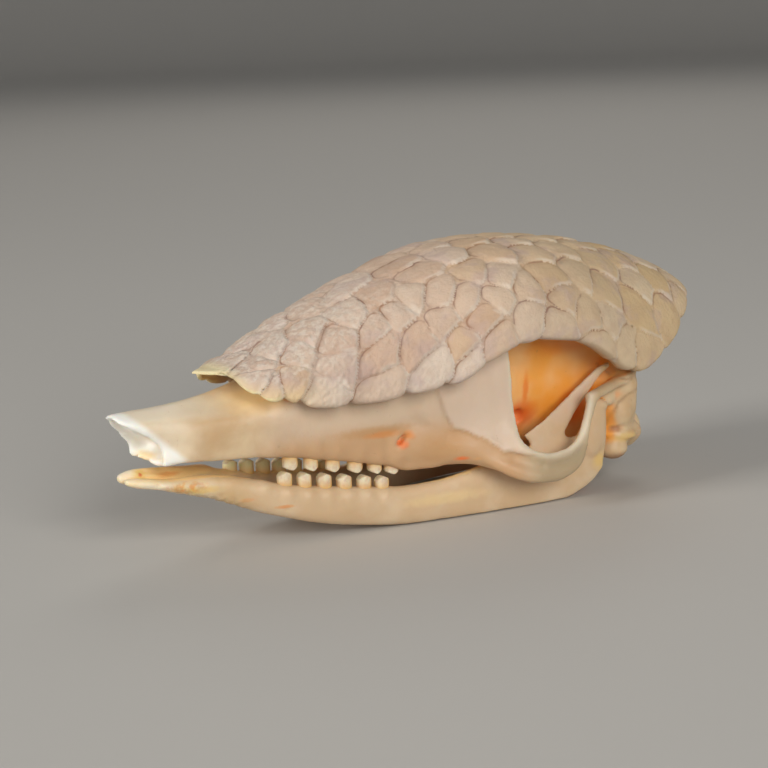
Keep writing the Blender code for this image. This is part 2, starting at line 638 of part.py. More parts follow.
def add_scute(work, dome, corners):
    """One scute: a raised top with sloping sides, and the shield's underside below it."""
    middle = np.mean(corners, axis=0)
    groove = [work.verts.new(placed(dome.sunk(corner, GROOVE_DEEP))) for corner in corners]
    top = []
    for corner in corners:
        inward = middle - corner
        shift = inward / np.linalg.norm(inward) * SCUTE_INSET
        top.append(work.verts.new(placed(dome.sunk(corner + shift, SCUTE_EDGE_DEEP))))
    peak = work.verts.new(placed(dome.sunk(middle, 0)))
    below = []
    for corner in corners:
        depth = GROOVE_DEEP + thickness_at(corner[0])
        below.append(work.verts.new(placed(dome.sunk(corner, depth))))
    count = len(corners)
    for i in range(count):
        j = (i + 1) % count
        work.faces.new((groove[i], groove[j], top[j], top[i]))
        work.faces.new((top[i], top[j], peak))
    work.faces.new(below[::-1])


def make_cranium(home, helpers):
    work = bmesh.new()
    add_loft(work, skull_rings())
    for side in (-1, 1):
        add_loft(work, arch_rings(side))
        for bar in (CHEEK_ROOT, ORBIT_FRONT, TEMPLE_LEDGE, PTERYGOID):
            add_bar(work, bar, side)
        add_ball(work, OCCIPITAL_CONDYLE, side)
        add_ball(work, MASTOID, side)
        add_ball(work, EAR_REGION, side)
    made = melt("cranium", work, CRANIUM_SKIN, BONE, home)
    cut(made, socket_cutter("upper_sockets", "upper", (-1, 1), helpers))


def make_jaw(name, side, home, helpers):
    work = bmesh.new()
    add_loft(work, jaw_rings(side))
    add_bar(work, CORONOID, side)
    add_bar(work, CONDYLE_NECK, side)
    add_ball(work, CONDYLE, side)
    made = melt(name, work, JAW_SKIN, JAW_BONE, home)
    trough = bmesh.new()
    add_ball(trough, CHIN_TROUGH, 1)
    cut(made, helper(f"{name}_trough", trough, helpers))
    cut(made, socket_cutter(f"{name}_sockets", "lower", (side,), helpers))
    trim(made, Vector((0, side * GAP / 2 * MM, 0)), Vector((0, -side, 0)))
    trim(made, Vector((0, 0, 0)), Vector((0, 0, -1)))


def trim(obj, point, outward):
    """Cuts an object off flat and closes the cut."""
    work = bmesh.new()
    work.from_mesh(obj.data)
    everything = work.verts[:] + work.edges[:] + work.faces[:]
    found = bmesh.ops.bisect_plane(work, geom=everything, plane_co=point, plane_no=outward, clear_outer=True)
    edges = [item for item in found["geom_cut"] if isinstance(item, bmesh.types.BMEdge)]
    bmesh.ops.contextual_create(work, geom=edges)
    bmesh.ops.recalc_face_normals(work, faces=work.faces)
    work.to_mesh(obj.data)
    work.free()


clear_scene()
PARTS = collection("armadillo_skull")
HELPERS = collection("cutters")
make_cranium(PARTS, HELPERS)
make_jaw("mandible_left", -1, PARTS, HELPERS)
make_jaw("mandible_right", 1, PARTS, HELPERS)
make_teeth(PARTS)
make_shield(PARTS)
print("triangles in all:", sum(triangle_count(part) for part in PARTS.objects))
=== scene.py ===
# %% [markdown]
# # An armadillo's skull under its head shield
# This script dresses a small natural history specimen: the cleaned skull of an armadillo, lying on its
# own two lower jaws, with the bony cap of its head still on top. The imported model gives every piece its
# place and size. Here each piece gets the fine surface and the colours of old bone, and then a floor,
# soft light and a camera.

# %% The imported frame
import math

import bmesh
import bpy
import numpy as np
from mathutils import Matrix, Vector, noise
from mathutils.bvhtree import BVHTree


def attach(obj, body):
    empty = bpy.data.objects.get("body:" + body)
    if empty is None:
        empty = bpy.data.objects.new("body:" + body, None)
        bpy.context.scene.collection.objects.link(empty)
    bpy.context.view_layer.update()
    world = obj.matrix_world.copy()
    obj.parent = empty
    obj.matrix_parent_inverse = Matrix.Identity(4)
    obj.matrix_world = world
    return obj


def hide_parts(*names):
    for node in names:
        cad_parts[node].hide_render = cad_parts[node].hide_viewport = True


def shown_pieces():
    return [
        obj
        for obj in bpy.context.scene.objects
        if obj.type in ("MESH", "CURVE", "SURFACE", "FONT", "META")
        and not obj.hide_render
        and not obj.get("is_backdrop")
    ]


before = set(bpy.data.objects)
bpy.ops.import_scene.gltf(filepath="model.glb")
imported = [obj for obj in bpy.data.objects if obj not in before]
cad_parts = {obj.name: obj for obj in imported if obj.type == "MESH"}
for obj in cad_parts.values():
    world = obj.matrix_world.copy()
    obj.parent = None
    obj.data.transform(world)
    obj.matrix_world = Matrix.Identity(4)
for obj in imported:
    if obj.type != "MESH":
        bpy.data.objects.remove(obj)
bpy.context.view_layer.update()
print("nodes in the frame:", len(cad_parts))

# %% [markdown]
# ## Millimetres from the nose tip
# A skull is measured from its front end, so every size below is in millimetres, with X running back from
# the nose tip, Y the breadth and Z the height. The jaws rest a little below Z zero. The frame itself is
# in metres with its origin in the middle, on the floor. A few small functions go between the two, and
# only they know of both.

# %% Places and sizes
MM = 0.001
MIDDLE_X = 53.6
JAW_SEAT = 0.9
FRONT = np.array((MIDDLE_X, 0, -JAW_SEAT))
LEFT, RIGHT = -1, 1


def spot(point):
    """A point of the skull, in millimetres from the nose tip, as a place in the frame."""
    return Vector((np.array(point, float) - FRONT) * MM)


def read_points(piece):
    """All points of a piece in millimetres from the nose tip."""
    flat = np.empty(len(piece.data.vertices) * 3, np.float32)
    piece.data.vertices.foreach_get("co", flat)
    return flat.reshape(-1, 3).astype(float) / MM + FRONT


def write_points(piece, points):
    piece.data.vertices.foreach_set("co", ((points - FRONT) * MM).astype(np.float32).ravel())
    piece.data.update()


def read_normals(piece):
    flat = np.empty(len(piece.data.vertices) * 3, np.float32)
    piece.data.vertices.foreach_get("normal", flat)
    return flat.reshape(-1, 3).astype(float)


def store(piece, name, values):
    """Keeps one number for each point of a piece, for its material to read."""
    kept = piece.data.attributes.new(name, "FLOAT", "POINT")
    kept.data.foreach_set("value", np.asarray(values, np.float32))


def smooth_step(low, high, value):
    """Goes from nothing at low to one at high, without corners."""
    t = np.clip((value - low) / (high - low), 0, 1)
    return t * t * (3 - 2 * t)


print("a nose tip lies at", tuple(round(c, 4) for c in spot((0, 0, 21))))

# %% [markdown]
# ## The camera first
# The photograph looks at the skull's left side from 33 degrees round and 11 degrees above the floor,
# through a long lens, and is held a little askew. Setting the camera first means that every later choice
# can be judged in its view.

# %% Camera
PICTURE = 768
LENS_PIXELS = 2043.2
CAMERA_AROUND = math.radians(-33)
CAMERA_ABOVE = math.radians(11)
CAMERA_ROLL = math.radians(2.2)
CAMERA_AWAY = 320
SENSOR_WIDE = 36
CLIP_NEAR = 0.01
AIM = spot((45.39, -5, 20.76))


def add_camera():
    back = Vector((math.sin(CAMERA_AROUND) * math.cos(CAMERA_ABOVE),
                   -math.cos(CAMERA_AROUND) * math.cos(CAMERA_ABOVE), math.sin(CAMERA_ABOVE)))
    level = Vector((math.cos(CAMERA_AROUND), math.sin(CAMERA_AROUND), 0))
    upright = back.cross(level)
    right = level * math.cos(CAMERA_ROLL) - upright * math.sin(CAMERA_ROLL)
    up = upright * math.cos(CAMERA_ROLL) + level * math.sin(CAMERA_ROLL)
    data = bpy.data.cameras.new("camera")
    data.sensor_width = SENSOR_WIDE
    data.lens = LENS_PIXELS / PICTURE * SENSOR_WIDE
    data.clip_start = CLIP_NEAR
    camera = bpy.data.objects.new("camera", data)
    bpy.context.scene.collection.objects.link(camera)
    turned = Matrix((right, up, back)).transposed().to_4x4()
    turned.translation = AIM + back * CAMERA_AWAY * MM
    camera.matrix_world = turned
    bpy.context.scene.camera = camera
    return camera


CAMERA = add_camera()


def sight(pixel):
    """The line of sight through a pixel of the 768 by 768 picture: where it starts and its direction."""
    turned = CAMERA.matrix_world
    across = (pixel[0] - PICTURE / 2) / LENS_PIXELS
    high = (PICTURE / 2 - pixel[1]) / LENS_PIXELS
    return turned.translation.copy(), (turned.to_3x3() @ Vector((across, high, -1))).normalized()


print("lens in millimetres:", round(CAMERA.data.lens, 1))

# %% [markdown]
# ## Smooth lines along the skull
# A bone has no straight edges, but it can be told by a few long lines: its roof, its shoulders, its edge.
# Each line is a handful of measured places. The helper joins them with a curve that never swings past a
# place, so that a bump is only where a bump was written.

# %% Lines through measured places
CURVE_STEPS = 8


def line_through(places):
    """A smooth curve through rows of a position and its values, to be read at any position."""
    table = np.array(places, float)
    at, values = table[:, 0], table[:, 1:]
    step = np.diff(at)[:, None]
    rise = np.diff(values, axis=0) / step
    slope = np.zeros_like(values)
    before, after = rise[:-1], rise[1:]
    even = before * after > 0
    weigh_before, weigh_after = 2 * step[1:] + step[:-1], step[1:] + 2 * step[:-1]
    mean = weigh_before / np.where(even, before, 1) + weigh_after / np.where(even, after, 1)
    slope[1:-1] = np.where(even, (weigh_before + weigh_after) / mean, 0)
    slope[0], slope[-1] = rise[0], rise[-1]

    def read(position):
        position = np.clip(position, at[0], at[-1])
        index = np.clip(np.searchsorted(at, position) - 1, 0, len(at) - 2)
        width = at[index + 1] - at[index]
        t = (position - at[index]) / width
        t, width = np.expand_dims(t, -1), np.expand_dims(width, -1)
        return (values[index] * (1 + 2 * t) * (1 - t) ** 2 + slope[index] * width * t * (1 - t) ** 2
                + values[index + 1] * t * t * (3 - 2 * t) + slope[index + 1] * width * t * t * (t - 1))

    return read


def line_by_number(places):
    """The same for places that are read by their number in the list."""
    return line_through([(number, *place) for number, place in enumerate(places)])


def around(count):
    """Evenly spaced angles of a full turn."""
    return np.linspace(0, 2 * math.pi, count, endpoint=False)


def closed_curve(points, count):
    """Evenly spaced points on a closed smooth curve through the given ones."""
    points = np.array(points, float)
    fine = []
    for i in range(len(points)):
        a, b, c, d = (points[(i + k) % len(points)] for k in (-1, 0, 1, 2))
        for t in np.linspace(0, 1, CURVE_STEPS, endpoint=False):
            fine.append(0.5 * (2 * b + (c - a) * t + (2 * a - 5 * b + 4 * c - d) * t * t
                               + (3 * b - 3 * c + d - a) * t ** 3))
    fine = np.array(fine + fine[:1])
    run = np.concatenate([[0], np.cumsum(np.linalg.norm(np.diff(fine, axis=0), axis=1))])
    where = np.linspace(0, run[-1], count + 1)[:-1]
    return np.stack([np.interp(where, run, fine[:, k]) for k in range(fine.shape[1])], 1)


# %% [markdown]
# ## Growing bone from a round face
# A modeller makes a limb by drawing one round face and extruding it again and again, fitting each new
# ring to the outline of the body at that place. That is what the next helper does with Blender's own
# extrude. Pieces that overlap are then joined and remeshed with small voxels, which melts them into one
# skin as bone does when it grows together, and a smooth modifier takes the steps of the voxels away.

# %% Extruding ring by ring
BAR_SIDES = 18
BAR_STEPS = 4
EGG_SEGMENTS, EGG_RINGS = 28, 18
SMOOTHING = 0.5


def deselect():
    if bpy.context.object and bpy.context.object.mode != "OBJECT":
        bpy.ops.object.mode_set(mode="OBJECT")
    bpy.ops.object.select_all(action="DESELECT")


def open_for_editing(action="SELECT"):
    """Goes into edit mode, with all of the piece selected unless the action says otherwise."""
    bpy.ops.object.mode_set(mode="EDIT")
    bpy.ops.mesh.select_all(action=action)


def close_facing_out():
    """Turns all faces outwards and leaves edit mode."""
    bpy.ops.mesh.select_all(action="SELECT")
    bpy.ops.mesh.normals_make_consistent(inside=False)
    bpy.ops.object.mode_set(mode="OBJECT")


def loft(rings):
    """A closed tube: a round face extruded from outline to outline."""
    deselect()
    bpy.ops.mesh.primitive_circle_add(vertices=len(rings[0]), radius=MM, fill_type="NGON")
    tube = bpy.context.object
    open_for_editing()
    last = np.array([vert.co for vert in bmesh.from_edit_mesh(tube.data).verts])
    for number, ring in enumerate(rings):
        if number:
            bpy.ops.mesh.extrude_region_move()
        places = [spot(point) for point in ring]
        for vert in bmesh.from_edit_mesh(tube.data).verts:
            if vert.select:
                vert.co = places[int(((last - np.array(vert.co)) ** 2).sum(1).argmin())]
        last = np.array(places)
    bmesh.update_edit_mesh(tube.data)
    close_facing_out()
    return tube


def bar(stations, side):
    """An oval bar through stations of (x, half breadth, height, half width, half height)."""
    line = line_by_number([(x, side * y, z, wide, high) for x, y, z, wide, high in stations])
    fine = line(np.linspace(0, len(stations) - 1, (len(stations) - 1) * BAR_STEPS + 1))
    rings = []
    for i, row in enumerate(fine):
        ahead = fine[min(i + 1, len(fine) - 1)][:3] - fine[max(i - 1, 0)][:3]
        across = np.cross(ahead, (0, 0, 1))
        across = across / np.linalg.norm(across)
        upright = np.cross(across, ahead / np.linalg.norm(ahead))
        rings.append([row[:3] + across * row[3] * math.cos(turn) + upright * row[4] * math.sin(turn)
                      for turn in around(BAR_SIDES)])
    return loft(rings)


def egg(centre, half_sizes, turn=(0, 0, 0)):
    """An egg shape, turned by degrees about X, Y and Z."""
    deselect()
    angles = [math.radians(angle) for angle in turn]
    bpy.ops.mesh.primitive_uv_sphere_add(segments=EGG_SEGMENTS, ring_count=EGG_RINGS, radius=MM,
                                         location=spot(centre), rotation=angles)
    made = bpy.context.object
    made.scale = half_sizes
    bpy.ops.object.transform_apply(location=True, rotation=True, scale=True)
    return made


def eggs(forms, *sides):
    """Eggs that are written down for the right side, made on each side that is named."""
    return [egg((x, side * y, z), sizes, (side * turn[0], turn[1], side * turn[2]))
            for side in sides for (x, y, z), sizes, turn in forms]


# %% Joining, melting and carving
def choose(pieces):
    deselect()
    for piece in pieces:
        piece.select_set(True)
    bpy.context.view_layer.objects.active = pieces[0]


def apply_all(piece):
    choose([piece])
    for name in [modifier.name for modifier in piece.modifiers]:
        bpy.ops.object.modifier_apply(modifier=name)


def melt(piece, voxel, rounds):
    """Grows overlapping forms into one skin by small voxels, and smooths it as often as rounds say."""
    remesh = piece.modifiers.new("grown_together", "REMESH")
    remesh.mode = "VOXEL"
    remesh.voxel_size = voxel * MM
    smooth = piece.modifiers.new("smooth", "SMOOTH")
    smooth.iterations = rounds
    smooth.factor = SMOOTHING
    apply_all(piece)


def join(pieces, name):
    choose(pieces)
    bpy.ops.object.join()
    made = bpy.context.object
    made.name = name
    return made


def carve(piece, cutters):
    """Takes the cutters' shapes out of a piece."""
    tool = join(cutters, "cutter")
    cut = piece.modifiers.new("carved", "BOOLEAN")
    cut.operation = "DIFFERENCE"
    cut.object = tool
    apply_all(piece)
    bpy.data.objects.remove(tool, do_unlink=True)


def grow(parts, name, melts, hollows, *sides):
    """One bone: its parts joined and melted, its hollows carved, and melted again."""
    bone = join(parts, name)
    melt(bone, *melts[0])
    carve(bone, eggs(hollows, *sides))
    melt(bone, *melts[1])
    return bone


def faces_of(piece):
    piece.data.calc_loop_triangles()
    return len(piece.data.loop_triangles)


# %% [markdown]
# ## The upper skull
# The upper skull is one bone tube with a long snout, a rounded braincase and a broken nose end. It is
# lofted from six lengthwise lines. The nose end is cut on a slant and chipped, and the tube is turned
# inwards there, so that it ends in a shallow dish. The hole where the spine came in closes the other end
# in the same way.

# %% The upper skull's lines
ROOF = [(0, 0, 21.6), (10, 0, 21.8), (17, 0, 22.6), (23, 0, 24.0), (32, 0, 27.8), (42, 0, 32.4),
        (52, 0, 36.0), (62, 0, 37.7), (70, 0, 37.9), (80, 0, 36.6), (88, 0, 32.5), (93, 0, 26.5),
        (95.6, 0, 19.5)]
SHOULDER = [(0, 2.4, 21.0), (10, 3.7, 20.8), (20, 4.6, 21.6), (32, 6.9, 25.6), (42, 8.8, 29.4),
            (52, 10.6, 32.4), (62, 12.0, 34.0), (70, 12.8, 34.0), (80, 13.2, 31.5), (88, 12.6, 27.5),
            (93, 8.8, 22.5), (95.6, 3.6, 17.8)]
TEMPLE = [(0, 3.3, 20.2), (10, 5.2, 19.0), (20, 6.9, 19.4), (32, 9.4, 21.4), (42, 11.6, 23.4),
          (50, 12.6, 24.8), (58, 11.8, 25.5), (66, 10.9, 25.8), (74, 10.8, 25.0), (80, 11.0, 23.5),
          (84, 11.5, 22.0), (88, 12.2, 20.8), (92, 10.2, 18.5), (95.6, 4.6, 15.5)]
WALL = [(0, 3.6, 18.4), (10, 5.5, 16.4), (20, 7.1, 16.0), (32, 9.0, 16.0), (42, 10.8, 15.0),
        (50, 11.2, 14.5), (58, 10.2, 15.0), (66, 9.7, 15.5), (74, 9.6, 15.0), (80, 9.8, 14.2),
        (83.2, 10.6, 13.4), (86, 13.6, 12.6), (89.5, 13.2, 12.0), (93, 8.6, 11.0), (95.6, 4.8, 10.5)]
EDGE = [(0, 3.4, 14.2), (7, 4.7, 13.8), (12, 5.4, 13.45), (20, 6.7, 13.0), (26.6, 7.4, 12.3),
        (33, 8.3, 11.0), (38, 9.1, 9.9), (44, 9.8, 8.6), (50, 10.0, 8.3), (56, 8.4, 8.6), (64, 6.8, 8.6),
        (74, 6.4, 7.4), (80, 7.0, 6.4), (86, 10.6, 4.6), (89, 9.4, 3.8), (93, 6.0, 4.0),
        (95.6, 3.8, 7.0)]
PALATE = [(0, 1.8, 15.0), (10, 2.6, 14.5), (20, 3.4, 14.2), (30, 4.4, 12.9), (40, 5.6, 10.9),
          (48, 6.2, 9.6), (56, 5.0, 9.4), (66, 4.0, 8.8), (76, 3.8, 7.4), (86, 5.2, 5.4), (92, 3.4, 4.8),
          (95.6, 1.8, 7.2)]
SKULL_STEP = 1.1
SKULL_SIDES = 72
NOSE_END = 11
NOSE_SLANT_LEFT = [(13, 6.6), (14, 6.5), (16.3, 6.4), (18, 4.4), (19.6, 2.2), (20.4, 0.9), (21.3, 0),
                   (23, 0)]
NOSE_SLANT_RIGHT = [(12.6, 6.6), (13.9, 4.9), (16, 4.3), (18, 2.8), (19.2, 1.9), (20.6, 0.8), (21.5, 0),
                    (23, 0)]
NOSE_WALL = 0.75
NOSE_HOLLOW = [(3.4, 0.45), (2.8, 0.85), (1.8, 0.97), (0.7, 1)]
# From the left slant to the right one, over the breadth
SLANTS_MEET = (-1.5, 2.0)
CHIP_DEEP = 0.55
CHIP_GRAIN = np.array((0.9, 1.3, 1))
CHIP_SHIFT = 4.0
CHIPS_BELOW = 20.5
# How far the broken floor of the nose hangs down, at which breadth and over which spread
NOSE_DROOP = (2.0, -0.8, 2.6)
DROOP_HEIGHTS = (14.8, 17.5)
DROOP_ENDS = (4, 12)
SPINE_HOLE = (96.2, 10.9, 4.3, 3.7)
SPINE_HOLLOW = [(0, 1), (4.5, 1.05), (9, 0.7)]


def skull_outline(lines, x):
    """The closed outline across the upper skull at one place, as points of breadth and height."""
    half = [line(x) for line in lines]
    down = [(-y, z) for y, z in half]
    up = [(y, z) for y, z in reversed(half[1:])]
    outline = closed_curve(down + [(0, half[-1][1])] + up, SKULL_SIDES)
    drop, centre, spread = NOSE_DROOP
    low = np.exp(-((outline[:, 0] - centre) / spread) ** 2)
    low = low * (1 - smooth_step(*DROOP_HEIGHTS, outline[:, 1]))
    outline[:, 1] -= drop * low * (1 - smooth_step(*DROOP_ENDS, x))
    return outline


def nose_rings(front):
    """Outlines of the dish inside the nose, from its bottom to its edge."""
    middle = front.mean(0)
    spoke = middle - front
    reach = np.linalg.norm(spoke[:, 1:], axis=1)[:, None]
    rings = []
    for depth, keep in NOSE_HOLLOW:
        ring = front.copy()
        ring[:, 1:] += spoke[:, 1:] * NOSE_WALL / reach
        ring[:, 1:] = middle[1:] + (ring[:, 1:] - middle[1:]) * keep
        ring[:, 0] += depth
        rings.append(ring)
    return rings


def hole_rings():
    """Outlines of the hole of the spine, from its mouth to its bottom."""
    x, z, wide, high = SPINE_HOLE
    turn = around(SKULL_SIDES)
    mouth = np.column_stack([np.full(SKULL_SIDES, x), -wide * np.sin(turn), z + high * np.cos(turn)])
    rings = []
    for depth, keep in SPINE_HOLLOW:
        ring = mouth.copy()
        ring[:, 0] -= depth
        ring[:, 1:] = (0, z) + (ring[:, 1:] - (0, z)) * keep
        rings.append(ring)
    return rings


def skull_rings():
    """Outlines of the upper skull, from deep in the nose to deep in the hole of the spine."""
    lines = [line_through(places) for places in (ROOF, SHOULDER, TEMPLE, WALL, EDGE, PALATE)]
    slants = line_through(NOSE_SLANT_LEFT), line_through(NOSE_SLANT_RIGHT)
    end = ROOF[-1][0]
    outer = []
    for x in np.linspace(0, end, round(end / SKULL_STEP) + 1):
        flat = skull_outline(lines, x)
        along = np.full(SKULL_SIDES, float(x))
        if x < NOSE_END:
            chips = [noise.noise(Vector((y, z, CHIP_SHIFT) * CHIP_GRAIN)) for y, z in flat]
            left, right = (slant(flat[:, 1])[:, 0] for slant in slants)
            starts = left + (right - left) * smooth_step(*SLANTS_MEET, flat[:, 0])
            starts += CHIP_DEEP * np.array(chips) * (flat[:, 1] < CHIPS_BELOW)
            along = starts + (NOSE_END - starts) * x / NOSE_END
        outer.append(np.column_stack([along, flat]))
    return nose_rings(outer[0]) + outer + hole_rings()


SKULL_TUBE = loft(skull_rings())
print("skull tube:", faces_of(SKULL_TUBE), "triangles")

# %% [markdown]
# ## The cheek arches
# Below each eye a broad plate of bone sweeps out from the snout, narrows under the eye and reaches back
# to the ear. It is a strip between two lines, the rim of the eye socket and the outer border, and it is a
# little thicker along the rim, where a painted highlight later makes a white lip. Bars of oval section root
# it in the snout and in the temple, and others make the ridge over the teeth and the two keels behind
# the palate.

# %% Cheek arches
ARCH_RIM = [(62.9, 14.2, 27.0), (62.6, 15.0, 23.0), (62.4, 15.7, 19.0), (62.2, 16.5, 15.0),
            (62.3, 17.5, 11.8), (63.4, 18.4, 10.0), (65.4, 19.0, 9.1), (67.8, 19.1, 8.7), (70.4, 18.8, 8.9),
            (72.6, 18.4, 9.7), (74.2, 17.9, 11.0), (75.3, 17.4, 12.9), (76.2, 16.9, 14.6),
            (77.0, 16.4, 16.2)]
ARCH_BORDER = [(46.0, 11.6, 29.0), (44.0, 10.8, 24.0), (44.6, 11.0, 19.6), (47.6, 11.8, 15.6),
               (52.5, 13.4, 11.6), (57.2, 16.2, 7.6), (60.6, 17.8, 5.4), (64.0, 18.8, 4.2),
               (67.6, 19.1, 3.9), (71.2, 18.7, 4.6), (73.6, 18.2, 6.2), (74.9, 18.0, 8.4),
               (76.0, 17.6, 11.0), (78.4, 16.6, 14.6)]
ARCH_STATIONS = 110
ARCH_THICKNESS = 1.5
RIM_THICKNESS = 1.15
RIM_BREADTH = 0.2
ARCH_PLATE = [(0, 0.4), (0.03, 1.0), (0.08, 1.4), (0.14, 1.2), (0.24, 0.9), (0.5, 0.95), (0.8, 0.9),
              (0.95, 0.7), (1, 0.35)]
ARCH_BAND = [(0, 0.4), (0.04, 1.1), (0.12, 1.7), (0.22, 1.3), (0.34, 0.5), (0.5, 0.7), (0.68, 1.5),
             (0.84, 1.5), (0.95, 1.0), (1, 0.35)]
ARCH_SHARES = np.array((0, 0.025, 0.05, 0.09, 0.13, 0.18, 0.24, 0.31, 0.39, 0.48, 0.57, 0.66, 0.75, 0.83,
                        0.9, 0.96, 1))
# Where along the rim the plate becomes a rounded band, and where it is a plate again
BAND_FROM, BAND_TO = (3.4, 5.2), (10.5, 12.5)
CHEEK_ROOT = [(43.0, 9.4, 12.6, 1.6, 3.6), (49.5, 10.8, 12.0, 2.3, 4.0), (55.5, 13.4, 10.9, 2.5, 3.2),
              (60.5, 16.8, 8.2, 1.4, 2.2)]
ORBIT_FRONT = [(46.0, 10.2, 21.0, 1.6, 7.0), (52.0, 11.4, 20.5, 2.2, 7.5), (57.5, 12.3, 20.0, 2.0, 7.0),
               (60.5, 13.0, 19.5, 1.6, 6.5)]
ALVEOLUS = [(21.5, 5.7, 13.3, 0.8, 0.45), (26.0, 6.15, 12.9, 1.1, 0.6), (33.0, 7.3, 11.6, 1.3, 0.65),
            (40.0, 8.3, 10.2, 1.4, 0.8), (43.5, 9.0, 9.5, 1.4, 0.9), (46.0, 9.7, 8.6, 1.4, 1.1),
            (49.5, 10.8, 8.6, 1.3, 1.1), (52.8, 12.3, 9.3, 1.1, 0.9)]
TEMPLE_LEDGE = [(76.6, 16.7, 15.6, 1.0, 1.1), (80.0, 15.9, 16.3, 1.1, 0.9), (84.0, 14.2, 16.7, 1.3, 0.9),
                (88.0, 12.3, 17.2, 1.6, 1.0), (90.6, 10.6, 18.6, 1.6, 1.0)]
PTERYGOID = [(56.0, 4.6, 8.6, 1.0, 1.4), (64.0, 3.8, 6.6, 0.9, 1.8), (71.0, 3.8, 6.4, 0.8, 1.6),
             (75.0, 4.2, 7.2, 0.8, 1.0)]


ARCH_BARS = CHEEK_ROOT, ALVEOLUS, ORBIT_FRONT, TEMPLE_LEDGE, PTERYGOID


def arch_rings(side):
    """Outlines across the arch strip, from the front of the eye socket back to the temple."""
    steps = np.linspace(0, len(ARCH_RIM) - 1, ARCH_STATIONS)
    rim, border = (line_by_number(line)(steps) * (1, side, 1) for line in (ARCH_RIM, ARCH_BORDER))
    plate, rounded = (line_through(line)(ARCH_SHARES)[:, 0] for line in (ARCH_PLATE, ARCH_BAND))
    rings = []
    for i, step in enumerate(steps):
        ahead = rim[min(i + 1, len(rim) - 1)] - rim[max(i - 1, 0)]
        across = border[i] - rim[i]
        out = np.cross(ahead, across)
        out *= math.copysign(1, out[1] * side) / np.linalg.norm(out)
        band = smooth_step(*BAND_FROM, step) * (1 - smooth_step(*BAND_TO, step))
        outer, inner = [], []
        for share, flat, full in zip(ARCH_SHARES, plate, rounded):
            thick = flat + (full - flat) * band
            point = rim[i] + across * share
            half = (RIM_THICKNESS if share < RIM_BREADTH else ARCH_THICKNESS) / 2
            outer.append(point + out * half * thick)
            inner.append(point - out * half * min(thick, 1))
        rings.append(outer + inner[::-1])
    return rings


ARCHES = []
for side in (LEFT, RIGHT):
    ARCHES.append(loft(arch_rings(side)))
    ARCHES += [bar(stations, side) for stations in ARCH_BARS]
print("arch strips and bars:", len(ARCHES))

# %% [markdown]
# ## The ear region
# Behind the jaw joint the skull is a knot of small forms: the swollen bone behind the ear, a rounded lobe
# under it, and the two knobs on which the head turned. They are egg shapes laid into the side of the
# braincase. The dark gaps between them are carved afterwards, because a gap is easier to cut than to
# leave open. The small hole of the cheek, one inside the eye socket and the hollows of the palate are cut
# with them.

# %% Ear region and neck knobs
EAR_FORMS = [((88.0, 10.6, 15.2), (3.4, 3.1, 4.4), (0, 0, 0)),
             ((87.2, 11.4, 11.3), (2.7, 2.6, 2.9), (0, 0, 0)),
             ((87.2, 11.2, 7.5), (3.7, 2.5, 1.0), (0, 8, 6)),
             ((86.0, 11.3, 5.3), (2.7, 2.4, 1.9), (0, 0, 0)),
             ((90.2, 9.2, 7.0), (3.4, 2.6, 2.3), (0, 0, 0)),
             ((94.0, 5.2, 6.6), (2.6, 2.4, 3.4), (0, 0, 0)),
             ((83.4, 12.0, 14.6), (2.4, 2.2, 2.0), (0, 20, 0))]
EAR_SLITS = [((85.2, 13.6, 8.75), (2.4, 1.5, 0.5), (0, -8, 0)),
             ((88.0, 13.8, 6.45), (3.0, 1.5, 0.42), (0, 10, 0)),
             ((84.6, 14.2, 11.4), (0.42, 1.3, 2.6), (0, 14, 0)),
             ((87.0, 13.9, 13.7), (2.4, 0.6, 0.34), (0, -24, 0))]
EYE_HOLES = [((68.4, 9.4, 12.6), (1.3, 2.2, 1.5), (0, 0, 0))]
CHEEK_HOLE = [((44.3, 11.9, 13.0), (0.45, 2.0, 1.8), (0, 42, 0))]
PALATE_HOLLOWS = [((70.0, 0, 6.4), (8.0, 2.6, 2.2), (0, 0, 0)),
                  ((12.0, 1.2, 14.2), (2.6, 0.7, 1.4), (0, 0, 0))]


SKULL_HOLLOWS = EAR_SLITS + EYE_HOLES + CHEEK_HOLE + PALATE_HOLLOWS
# Voxel size and rounds of smoothing, before and after the hollows are carved
SKULL_MELTS = (0.42, 3), (0.38, 2)

EARS = eggs(EAR_FORMS, LEFT, RIGHT)
CRANIUM = grow([SKULL_TUBE] + ARCHES + EARS, "cranium_bone", SKULL_MELTS, SKULL_HOLLOWS, LEFT, RIGHT)
print("upper skull:", faces_of(CRANIUM), "triangles")

# %% [markdown]
# ## The lower jaws
# Each lower jaw is a slim rod that rises behind the teeth into a thin blade and a small joint head. The
# two meet at the chin without growing together. The same loft and melt make them, and the points that
# would sink into the floor are laid flat on it, as worn bone lies. The right jaw lies a little higher at
# its tip than the left.

